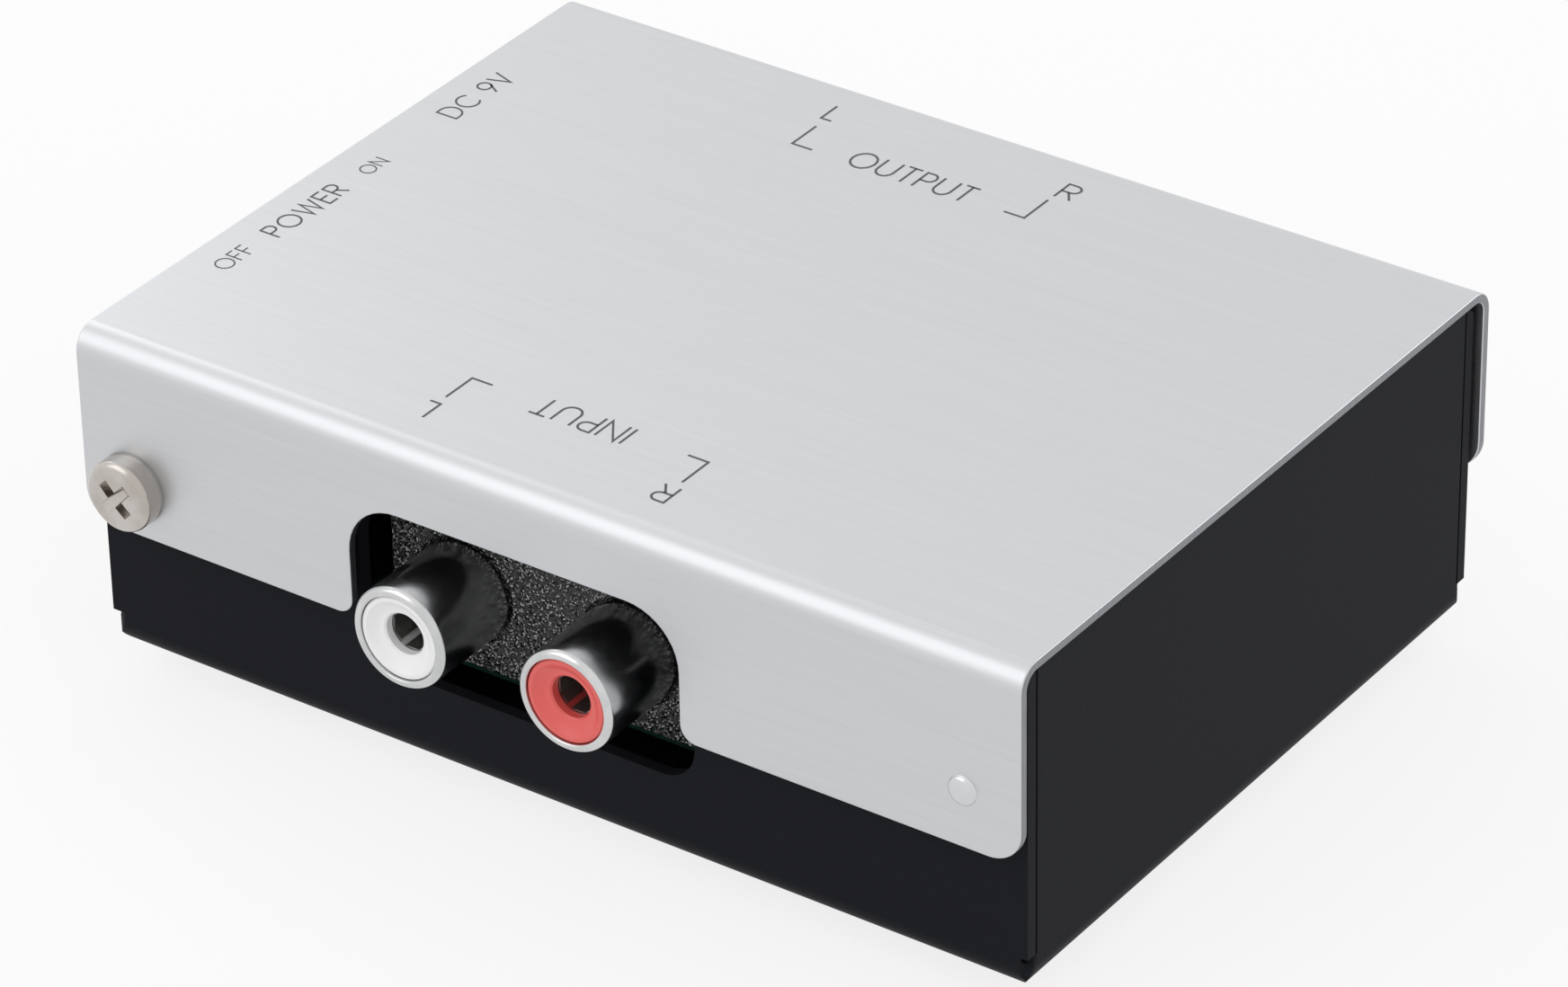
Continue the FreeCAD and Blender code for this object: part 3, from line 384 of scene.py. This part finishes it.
# Mouldings: darker and lighter colour, pits in a millimetre, their depth, least roughness
for name, low, high, grain, depth, least in (
    ("rubber", (0.012, 0.012, 0.013), (0.025, 0.025, 0.026), 3.0, 0.03, 0.75),
    ("brown_moulding", (0.09, 0.045, 0.02), (0.14, 0.07, 0.03), 2.0, 0.03, 0.5),
    ("knob_plastic", (0.010, 0.010, 0.011), (0.020, 0.020, 0.021), 4.0, 0.02, 0.45),
    ("chip_resin", (0.012, 0.012, 0.013), (0.026, 0.026, 0.027), 5.0, 0.02, 0.6),
    ("film_case", (0.34, 0.03, 0.015), (0.42, 0.05, 0.02), 1.0, 0.01, 0.25),
    ("can_sleeve", (0.010, 0.015, 0.045), (0.016, 0.022, 0.06), 1.0, 0.01, 0.28),
    ("resistor_ceramic", (0.015, 0.016, 0.02), (0.03, 0.03, 0.035), 3.0, 0.01, 0.4),
):
    finishes[name] = moulding(name, low, high, grain, depth, least)

for name, low, high in (
    ("white_liner", (0.86, 0.86, 0.86), (0.92, 0.92, 0.92)),
    ("red_liner", (0.74, 0.095, 0.085), (0.80, 0.12, 0.105)),
):
    finishes[name] = liner(name, low, high)

# Pieces whose surface differs from the rest of their slot
own_finish = {"dc_inlet_body": "knob_plastic", "power_switch_base": "knob_plastic"}

for subpart in frame["record"]["subparts"]:
    mesh = frame["nodes"][subpart["node"]].data
    mesh.materials.clear()
    mesh.materials.append(finishes[own_finish.get(subpart["node"], subpart["material_slot"])])


def arc(u, v, radius, start, end, steps=8):
    """Points of an arc about (u, v), between two angles in degrees."""
    turns = [math.radians(start + (end - start) * i / steps) for i in range(steps + 1)]
    return [(u + radius * math.cos(t), v + radius * math.sin(t)) for t in turns]


def rounded(corners, steps=8):
    """A closed outline through (u, v, radius) corners, each rounded by its radius."""
    points = []
    count = len(corners)
    for i, (u, v, radius) in enumerate(corners):
        here = Vector((u, v))
        if not radius:
            points.append((u, v))
            continue
        before = (Vector(corners[i - 1][:2]) - here).normalized()
        after = (Vector(corners[(i + 1) % count][:2]) - here).normalized()
        half = before.angle(after) / 2
        centre = here + (before + after).normalized() * radius / math.sin(half)
        first = here + before * radius / math.tan(half) - centre
        last = here + after * radius / math.tan(half) - centre
        sweep = first.angle_signed(last)
        for k in range(steps + 1):
            spoke = Matrix.Rotation(-sweep * k / steps, 2) @ first
            points.append(tuple(centre + spoke))
    return points


def piece(name, mesh, finish, smooth=35):
    """Shows a mesh made in millimetres, riding on the case. Angles under smooth shade smooth."""
    mesh.transform(Matrix.Scale(MM, 4))
    mesh.shade_smooth()
    mesh.set_sharp_from_angle(angle=math.radians(smooth))
    made = bpy.data.objects.new(name, mesh)
    bpy.context.scene.collection.objects.link(made)
    for one in finish if isinstance(finish, tuple) else (finish,):
        mesh.materials.append(finishes[one])
    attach(made, "case")
    return made


def mesh_of(bm, name):
    """A mesh of what was built, with its faces turned outwards."""
    bmesh.ops.recalc_face_normals(bm, faces=bm.faces)
    mesh = bpy.data.meshes.new(name)
    bm.to_mesh(mesh)
    bm.free()
    return mesh


def cut_blank(outline, thickness, edge):
    """A flat sheet between z = -thickness and 0, cut to a closed outline, with rounded edges."""
    curve = bpy.data.curves.new("blank", "CURVE")
    curve.dimensions = "2D"
    curve.fill_mode = "BOTH"
    curve.extrude = thickness / 2 - edge
    curve.bevel_depth = edge
    curve.bevel_resolution = 2
    curve.offset = -edge
    spline = curve.splines.new("POLY")
    spline.points.add(len(outline) - 1)
    for point, (u, v) in zip(spline.points, outline):
        point.co = (u, v, 0, 1)
    spline.use_cyclic_u = True
    holder = bpy.data.objects.new("blank", curve)
    bm = bmesh.new()
    bm.from_mesh(bpy.data.meshes.new_from_object(holder))
    bpy.data.objects.remove(holder)
    bmesh.ops.remove_doubles(bm, verts=bm.verts, dist=1e-4)
    bmesh.ops.translate(bm, verts=bm.verts, vec=(0, 0, -thickness / 2))
    return bm


def turned(bm, profile, centre, facing, steps=96):
    """Adds a ring or a plug turned about an axis along Y. profile holds (distance out, radius)."""
    rings = []
    for out, radius in profile:
        y = centre[1] + facing * out
        if radius < 1e-6:
            rings.append([bm.verts.new((centre[0], y, centre[2]))])
            continue
        turns = [2 * math.pi * i / steps for i in range(steps)]
        rings.append([
            bm.verts.new((centre[0] + radius * math.cos(t), y, centre[2] + radius * math.sin(t)))
            for t in turns])
    closed = len(rings[0]) > 1 and len(rings[-1]) > 1
    pairs = list(zip(rings, rings[1:])) + ([(rings[-1], rings[0])] if closed else [])
    for a, b in pairs:
        for i in range(steps):
            j = (i + 1) % steps
            face = [a[i % len(a)], a[j % len(a)], b[j % len(b)], b[i % len(b)]]
            bm.faces.new(list(dict.fromkeys(face)))


def turned_piece(name, profile, centre, facing, finish, steps=96, smooth=35):
    """Shows one turned shape."""
    bm = bmesh.new()
    turned(bm, profile, centre, facing, steps)
    return piece(name, mesh_of(bm, name), finish, smooth)


def block_of(bm, low, high):
    """Adds a box between two corners."""
    made = bmesh.ops.create_cube(bm, size=1.0)["verts"]
    for vert in made:
        vert.co = [a + (b - a) * (c + 0.5) for a, b, c in zip(low, high, vert.co)]


def keep_flat(made):
    """Keeps large flat faces flat where they meet rounded edges."""
    normals = made.modifiers.new("flat faces stay flat", "WEIGHTED_NORMAL")
    normals.keep_sharp = True
    return normals


# Cover: a flat blank, folded down along its front and back

def fold(u, v, w, top, half_depth):
    """Where a point of the flat blank lies once the two flanges are bent down."""
    flat = half_depth - cover_bend
    beyond = abs(v) - flat
    side = -1 if v < 0 else 1
    if beyond <= 0:
        return u, v, top + w
    bend = cover_bend * math.pi / 2
    if beyond < bend:
        t = beyond / cover_bend
        radius = cover_bend + w
        return u, side * (flat + radius * math.sin(t)), top - cover_bend + radius * math.cos(t)
    return u, side * (half_depth + w), top - cover_bend - (beyond - bend)


def make_cover():
    """Cuts the blank with both openings, scores it along the bends and folds it."""
    half_width = cover_high.x
    half_depth = cover_high.y
    top = cover_high.z - print_film
    arc_length = cover_bend * math.pi / 2
    flat = half_depth - cover_bend

    def unrolled(z):
        return flat + arc_length + (top - cover_bend - z)

    lower = unrolled(cover_low.z)
    notch = unrolled(jack_z + notch_rise)
    edge = []
    for facing, middle in ((1, output_x), (-1, input_x)):
        left = middle - notch_side
        right = middle + notch_side
        run = [
            (half_width, lower, flange_corner),
            (right, lower, notch_flare), (right, notch, notch_radius),
            (left, notch, notch_radius), (left, lower, notch_flare),
            (-half_width, lower, flange_corner),
        ]
        if facing < 0:
            run = [(u, -v, r) for u, v, r in reversed(run)]
        edge += run
    bm = cut_blank(rounded(edge, 10), cover_sheet, sheared_edge)
    for face in bm.faces:
        face.material_index = 0 if abs(face.normal.z) > 0.3 else 1
    bend_steps = 14
    for side in (-1, 1):
        for i in range(bend_steps + 1):
            v = side * (flat + arc_length * i / bend_steps)
            bmesh.ops.bisect_plane(
                bm, geom=bm.verts[:] + bm.edges[:] + bm.faces[:], dist=1e-5,
                plane_co=(0, v, 0), plane_no=(0, 1, 0))
    for vert in bm.verts:
        vert.co = fold(*vert.co, top, half_depth)
    cover = piece("cover", mesh_of(bm, "cover"), ("brushed_cover", "cut_edge"), 50)
    keep_flat(cover).weight = 100
    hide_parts("top_cover")


make_cover()


def make_nub(name, x, facing):
    """Pressed dimple that locates the flange on the tray."""
    rise = 8
    turns = [math.pi / 2 * i / rise for i in range(rise)]
    skirt = nub_radius + nub_skirt
    profile = [
        (-nub_foot, 0.0), (-nub_foot, skirt), (0.0, skirt), (nub_skirt_height, nub_radius),
        *((nub_height * math.sin(t), nub_radius * math.cos(t)) for t in turns[1:]),
        (nub_height, 0.0),
    ]
    centre = (x, facing * cover_high.y, nub_z)
    turned_piece(name, profile, centre, facing, "pressed_metal", 48, 60)


make_nub("front_nub", nub_x, -1)
make_nub("back_nub", -nub_x, 1)

# Cover screws

def make_screw(bm, x, facing):
    """Pan head on a plain shank."""
    crown = [(screw_height - crown_fall * (r / crown_radius) ** 2, r)
             for r in (crown_radius * i / 6 for i in range(1, 7))]
    edge = [(screw_height - crown_fall - head_round * (1 - math.cos(t)),
             crown_radius + (screw_radius - crown_radius) * math.sin(t))
            for t in (math.pi / 2 * i / 8 for i in range(1, 9))]
    base_radius = screw_radius - head_base
    profile = [
        (screw_height, 0.0), *crown, *edge,
        (head_base_top, screw_radius), (head_base_low, base_radius), (0.0, base_radius),
        (0.0, shank_radius), (-shank_length, shank_radius), (-shank_length, 0.0),
    ]
    turned(bm, profile, (x, facing * cover_high.y, screw_z), facing, 96)


def make_recess(bm, x, facing):
    """Two crossed tapering blades that cut the recess."""
    centre = Vector((x, facing * (cover_high.y + screw_height), screw_z))
    out = Vector((0, facing, 0))
    for turn in recess_turns:
        across = Vector((math.cos(math.radians(turn)), 0, math.sin(math.radians(turn))))
        side = Vector((-across.z, 0, across.x))
        corners = []
        for reach, width, level in (
                (recess_reach, recess_width, recess_above),
                (recess_tip, recess_tip_width, -recess_depth)):
            for a, b in ((-1, -1), (1, -1), (1, 1), (-1, 1)):
                corner = centre + across * a * reach + side * b * width + out * level
                corners.append(bm.verts.new(corner))
        lower, upper = corners[4:], corners[:4]
        sides = [(upper[i], upper[(i + 1) % 4], lower[(i + 1) % 4], lower[i]) for i in range(4)]
        for ring in (upper, lower, *sides):
            bm.faces.new(ring).material_index = 1


def make_screws():
    """Cuts the recesses out of both screws."""
    heads = bmesh.new()
    blades = bmesh.new()
    for x, facing in ((-screw_x, -1), (screw_x, 1)):
        make_screw(heads, x, facing)
        make_recess(blades, x, facing)
    head = bpy.data.objects.new("heads", mesh_of(heads, "heads"))
    blade = bpy.data.objects.new("blades", mesh_of(blades, "blades"))
    for one in (head, blade):
        bpy.context.scene.collection.objects.link(one)
        one.data.materials.append(finishes["nickel"])
        one.data.materials.append(finishes["dark_recess"])
    cut = head.modifiers.new("recess", "BOOLEAN")
    cut.operation = "DIFFERENCE"
    cut.object = blade
    cut.use_self = True
    shape = head.evaluated_get(bpy.context.evaluated_depsgraph_get())
    mesh = bpy.data.meshes.new_from_object(shape)
    mesh.materials.clear()
    for one in (head, blade):
        bpy.data.objects.remove(one)
    screws = piece("screws", mesh, ("nickel", "dark_recess"), 30)
    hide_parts("cover_screws")


make_screws()


# Jacks

def make_sleeves(name, node, middle, facing):
    """Two drawn sleeves with rolled-in rims, each with its solder tail."""
    low, high = span(node)
    mouth = max(abs(low.y), abs(high.y))
    seat = mouth - block_face
    back = mouth - min(abs(low.y), abs(high.y))
    rim = [(rim_round * math.sin(t) - rim_round, sleeve_radius - rim_round + rim_round * math.cos(t))
           for t in (math.pi / 2 * i / 8 for i in range(9))]
    lip = [(rim_inner_round * math.cos(t) - rim_inner_round,
            rim_inside + rim_inner_round - rim_inner_round * math.sin(t))
           for t in (math.pi / 2 * i / 5 for i in range(6))]
    profile = [
        (-back, sleeve_seat), (-seat, sleeve_seat), (-seat, sleeve_radius), *rim, *lip,
        (-rim_length, rim_inside), (-rim_length, sleeve_inside), (-back, sleeve_inside),
    ]
    bm = bmesh.new()
    for side in (-1, 1):
        x = middle + side * jack_reach
        turned(bm, profile, (x, facing * mouth, jack_z), facing)
        rear = sorted((facing * (mouth - back), facing * (mouth - back + tail_sheet)))
        tail_top = jack_z - sleeve_inside - tail_gap
        block_of(bm, (x - tail_side, rear[0], low.z), (x + tail_side, rear[1], tail_top))
    made = piece(name, mesh_of(bm, name), "nickel_sleeve", 30)
    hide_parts(node)


def make_liner(name, node, facing, finish):
    """Coloured liner with a dished face that runs down to the pin's hole."""
    low, high = span(node)
    face = max(abs(low.y), abs(high.y))
    length = abs(high.y - low.y)
    x = (low.x + high.x) / 2
    outer = (high.x - low.x) / 2
    lip = rim_inside - liner_gap
    dish_width = dish_radius - pin_hole - pin_hole_edge
    dish = [(-dish_depth * math.sin(t * math.pi / 2), dish_radius - dish_width * t)
            for t in (i / 8 for i in range(9))]
    hole_start = -dish_depth - pin_hole_edge
    hole_end = hole_start - pin_hole_length
    profile = [
        (-length, outer), (-liner_step, outer), (-liner_step, lip),
        (-liner_edge, lip), (0.0, lip - liner_edge), *dish, (hole_start, pin_hole),
        (hole_end, pin_hole), (hole_end, pin_chamber), (-length, pin_chamber),
    ]
    made = turned_piece(name, profile, (x, facing * face, jack_z), facing, finish)
    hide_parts(node)


def soften(name, node, finish, width, lowest):
    """Shows a CAD piece with its sharp edges above a height eased, as paint leaves them."""
    bm = bmesh.new()
    bm.from_mesh(frame["nodes"][node].data)
    bm.transform(Matrix.Scale(1 / MM, 4))
    bmesh.ops.remove_doubles(bm, verts=bm.verts, dist=1e-4)
    bmesh.ops.dissolve_limit(bm, angle_limit=math.radians(0.4), verts=bm.verts, edges=bm.edges)
    sharp = [edge for edge in bm.edges
             if edge.is_manifold and edge.calc_face_angle() > math.radians(sharp_angle)
             and edge.calc_length() > shortest_edge and max(v.co.z for v in edge.verts) > lowest]
    bmesh.ops.bevel(bm, geom=sharp, offset=width, segments=2, profile=0.5,
                    affect="EDGES", clamp_overlap=True)
    bmesh.ops.dissolve_degenerate(bm, dist=1e-3, edges=bm.edges)
    made = piece(name, mesh_of(bm, name), finish, 30)
    keep_flat(made)
    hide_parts(node)


soften("tray", "base_tray", "black_paint", painted_edge, relief_top)
make_sleeves("input_sleeves", "input_jack_sleeves", input_x, -1)
make_sleeves("output_sleeves", "output_jack_sleeves", output_x, 1)
for pair, facing in (("input", -1), ("output", 1)):
    for channel, finish in (("left", "white_liner"), ("right", "red_liner")):
        make_liner(f"{pair}_liner_{channel}", f"{pair}_jack_liner_{channel}", facing, finish)

# Legends: strokes of constant width in a plain round-lettered hand

def bowl(u, v, radius, start, end):
    """A fine round stroke."""
    return arc(u, v, radius, start, end, 16)


# Each letter's advance and its strokes, one unit high. A legend stretches them to its length.
letters = {
    "O": (1.0, [bowl(0.5, 0.5, 0.5, 0, 360)]),
    "U": (0.7, [[(0, 1), *bowl(0.35, 0.35, 0.35, 180, 360), (0.7, 1)]]),
    "T": (0.6, [[(0, 1), (0.6, 1)], [(0.3, 1), (0.3, 0)]]),
    "P": (0.55, [[(0, 0), (0, 1), *bowl(0.29, 0.74, 0.26, 90, -90), (0, 0.48)]]),
    "R": (0.55, [[(0, 0), (0, 1), *bowl(0.29, 0.74, 0.26, 90, -90), (0, 0.48)],
                 [(0.26, 0.48), (0.55, 0)]]),
    "I": (0.0, [[(0, 0), (0, 1)]]),
    "N": (0.7, [[(0, 0), (0, 1), (0.7, 0), (0.7, 1)]]),
    "L": (0.42, [[(0, 1), (0, 0), (0.42, 0)]]),
    "D": (0.76, [[(0, 0), (0, 1), *bowl(0.26, 0.5, 0.5, 90, -90), (0, 0)]]),
    "C": (0.86, [bowl(0.5, 0.5, 0.5, 44, 316)]),
    "V": (0.7, [[(0, 1), (0.35, 0), (0.7, 1)]]),
    "F": (0.48, [[(0, 0), (0, 1), (0.48, 1)], [(0, 0.52), (0.44, 0.52)]]),
    "W": (1.08, [[(0, 1), (0.27, 0), (0.54, 1), (0.81, 0), (1.08, 1)]]),
    "E": (0.5, [[(0.5, 1), (0, 1), (0, 0), (0.5, 0)], [(0, 0.52), (0.46, 0.52)]]),
    "9": (0.6, [bowl(0.3, 0.7, 0.3, 0, 360), [(0.57, 0.58), (0.18, 0)]]),
    " ": (0.3, []),
}


def ribbon(bm, points, base, stroke=stroke_width):
    """Adds a flat printed stroke along points, of the film's thickness."""
    closed = (Vector(points[0]) - Vector(points[-1])).length < 1e-4
    path = [Vector(p) for p in (points[:-1] if closed else points)]
    count = len(path)
    rows = []
    for i, here in enumerate(path):
        before = path[i - 1] if i or closed else None
        after = path[(i + 1) % count] if i < count - 1 or closed else None
        d0 = (here - before).normalized() if before is not None else (after - here).normalized()
        d1 = (after - here).normalized() if after is not None else d0
        mean = (d0 + d1).normalized()
        side = Vector((-mean.y, mean.x))
        reach = stroke / 2 / max(side.dot(Vector((-d0.y, d0.x))), sharpest_turn)
        row = [bm.verts.new((*(here + side * s * reach), base + h))
               for s, h in ((1, 0), (1, print_film), (-1, print_film), (-1, 0))]
        rows.append(row)
    for i in range(count if closed else count - 1):
        a, b = rows[i], rows[(i + 1) % count]
        for k in range(4):
            bm.faces.new((a[k], a[(k + 1) % 4], b[(k + 1) % 4], b[k]))
    if not closed:
        bm.faces.new(rows[0])
        bm.faces.new(rows[-1])


def make_legend(name, word, corner, along, length, height, stroke=stroke_width):
    """Prints a word of a given length and height from its lower left corner, along a direction."""
    wide = sum(letters[c][0] for c in word) + letter_gap * (len(word) - 1)
    along = Vector(along)
    up = Vector((-along.y, along.x))
    stretch = length / wide
    bm = bmesh.new()
    pen = 0.0
    for c in word:
        advance, strokes = letters[c]
        for points in strokes:
            placed = [Vector(corner) + along * (pen + u) * stretch + up * v * height for u, v in points]
            ribbon(bm, placed, cover_high.z - print_film, stroke)
        pen += advance + letter_gap
    piece(name, mesh_of(bm, name), "legend_ink")


def make_mark(name, points):
    """Prints a line through points."""
    bm = bmesh.new()
    ribbon(bm, points, cover_high.z - print_film)
    piece(name, mesh_of(bm, name), "legend_ink")


# Which way each word reads
facing_front = (1, 0)
facing_back = (-1, 0)
facing_right_side = (0, 1)

make_legend("legend_output", "OUTPUT", (-8.6, 20.4), facing_front, 11.0, 2.35)
make_legend("legend_output_left", "L", (-14.2, 25.35), facing_front, 0.95, 2.2)
make_legend("legend_output_right", "R", (7.6, 25.0), facing_front, 1.35, 2.2)
make_mark("mark_output_left", [(-13.75, 24.05), (-13.75, 20.8), (-11.9, 20.8)])
make_mark("mark_output_right", [(7.55, 24.25), (7.55, 20.95), (5.7, 20.95)])
make_legend("legend_input", "INPUT", (1.2, -20.1), facing_back, 8.1, 2.3)
make_legend("legend_input_left", "L", (-12.85, -25.1), facing_back, 0.95, 2.2)
make_legend("legend_input_right", "R", (8.6, -25.0), facing_back, 1.35, 2.2)
make_mark("mark_input_left", [(-13.15, -24.1), (-13.15, -20.9), (-11.3, -20.9)])
make_mark("mark_input_right", [(8.1, -24.2), (8.1, -20.95), (6.3, -20.95)])
make_legend("legend_off", "OFF", (-38.05, -18.5), facing_right_side, 3.6, 1.5, 0.13)
make_legend("legend_power", "POWER", (-37.8, -12.4), facing_right_side, 8.6, 1.85, 0.18)
make_legend("legend_on", "ON", (-38.0, -1.0), facing_right_side, 2.45, 1.3, 0.12)
make_legend("legend_supply", "DC 9V", (-37.8, 9.7), facing_right_side, 7.7, 1.9, 0.17)


# Floor, light and camera

def make_floor():
    """Plain pale floor that keeps the object's shadow."""
    reach = 4.0
    glow_share = 0.82      # how white the floor is seen, by the camera and in reflections
    mesh = bpy.data.meshes.new("floor")
    corners = [(-reach, -reach, 0), (reach, -reach, 0), (reach, reach, 0), (-reach, reach, 0)]
    mesh.from_pydata(corners, [], [(0, 1, 2, 3)])
    floor = bpy.data.objects.new("floor", mesh)
    bpy.context.scene.collection.objects.link(floor)
    f = Finish("floor", metallic=0.0, roughness=0.9, base_color=(0.86, 0.86, 0.87))
    camera, glossy, through = (
        f.node("ShaderNodeLightPath", {}, {}, f"Is {kind} Ray")
        for kind in ("Camera", "Glossy", "Transmission"))
    ray = camera.maths("MAXIMUM", camera, glossy.maths("MAXIMUM", glossy, through))
    glow = f.node("ShaderNodeEmission", {}, {"Color": (1, 1, 1, 1), "Strength": 1.0})
    both = f.node("ShaderNodeMixShader", {}, {0: ray * glow_share, 1: f.shader, 2: glow})
    out = next(n for n in f.tree.nodes if n.type == "OUTPUT_MATERIAL")
    f.tree.links.new(both.socket, out.inputs["Surface"])
    mesh.materials.append(f.material)


def make_world():
    """White where the camera or a reflection sees it, a little less as light."""
    light_level = 0.85
    world = bpy.data.worlds.new("studio")
    bpy.context.scene.world = world
    world.use_nodes = True
    tree = world.node_tree
    background = tree.nodes["Background"]
    path = tree.nodes.new("ShaderNodeLightPath")
    seen = tree.nodes.new("ShaderNodeMath")
    seen.operation = "MAXIMUM"
    seen_too = tree.nodes.new("ShaderNodeMath")
    seen_too.operation = "MAXIMUM"
    tree.links.new(path.outputs["Is Camera Ray"], seen.inputs[0])
    tree.links.new(path.outputs["Is Transmission Ray"], seen.inputs[1])
    tree.links.new(seen.outputs[0], seen_too.inputs[0])
    tree.links.new(path.outputs["Is Glossy Ray"], seen_too.inputs[1])
    strength = tree.nodes.new("ShaderNodeMapRange")
    strength.inputs["To Min"].default_value = light_level
    strength.inputs["To Max"].default_value = 1.0
    tree.links.new(seen_too.outputs[0], strength.inputs["Value"])
    tree.links.new(strength.outputs[0], background.inputs["Strength"])
    background.inputs["Color"].default_value = (1, 1, 1, 1)


def make_lamp(name, place, size, watts):
    """Square soft box aimed at the middle of the object. Its place is in metres."""
    aim = Vector((0, 0, 0.015))
    light = bpy.data.lights.new(name, "AREA")
    light.size = size
    light.energy = watts
    lamp = bpy.data.objects.new(name, light)
    lamp.location = place
    lamp.rotation_euler = (aim - Vector(place)).to_track_quat("-Z", "Y").to_euler()
    bpy.context.scene.collection.objects.link(lamp)


def make_camera():
    """Long lens from the right of the front, fitted to the photo's edges."""
    azimuth = math.radians(35.572)
    elevation = math.radians(31.839)
    roll = math.radians(-1.110)
    distance = 558.96
    target = Vector((-0.291, 0, 14.022))
    focal_pixels = 8249.0
    photo_width = 1744
    sensor = 36.0
    back = Vector((
        math.sin(azimuth) * math.cos(elevation),
        -math.cos(azimuth) * math.cos(elevation),
        math.sin(elevation)))
    forward = -back
    right = forward.cross(Vector((0, 0, 1))).normalized()
    down = -right.cross(forward)
    across = right * math.cos(roll) - down * math.sin(roll)
    downward = right * math.sin(roll) + down * math.cos(roll)
    camera = bpy.data.cameras.new("camera")
    camera.sensor_width = sensor
    camera.lens = focal_pixels / photo_width * sensor
    camera.clip_start = 0.01
    camera.clip_end = 20
    eye = bpy.data.objects.new("camera", camera)
    turn = Matrix((across, -downward, back)).transposed().to_4x4()
    eye.matrix_world = Matrix.Translation((target + back * distance) * MM) @ turn
    bpy.context.scene.collection.objects.link(eye)
    bpy.context.scene.camera = eye


make_floor()
make_world()
make_lamp("front_box", (-0.55, -0.75, 0.75), 0.9, 2.0)
make_lamp("back_box", (-0.48, 0.22, 0.345), 0.25, 0.36)
make_lamp("right_box", (0.34, 0.42, 0.14), 0.3, 0.4)
make_camera()
bpy.context.scene.view_settings.view_transform = "Standard"
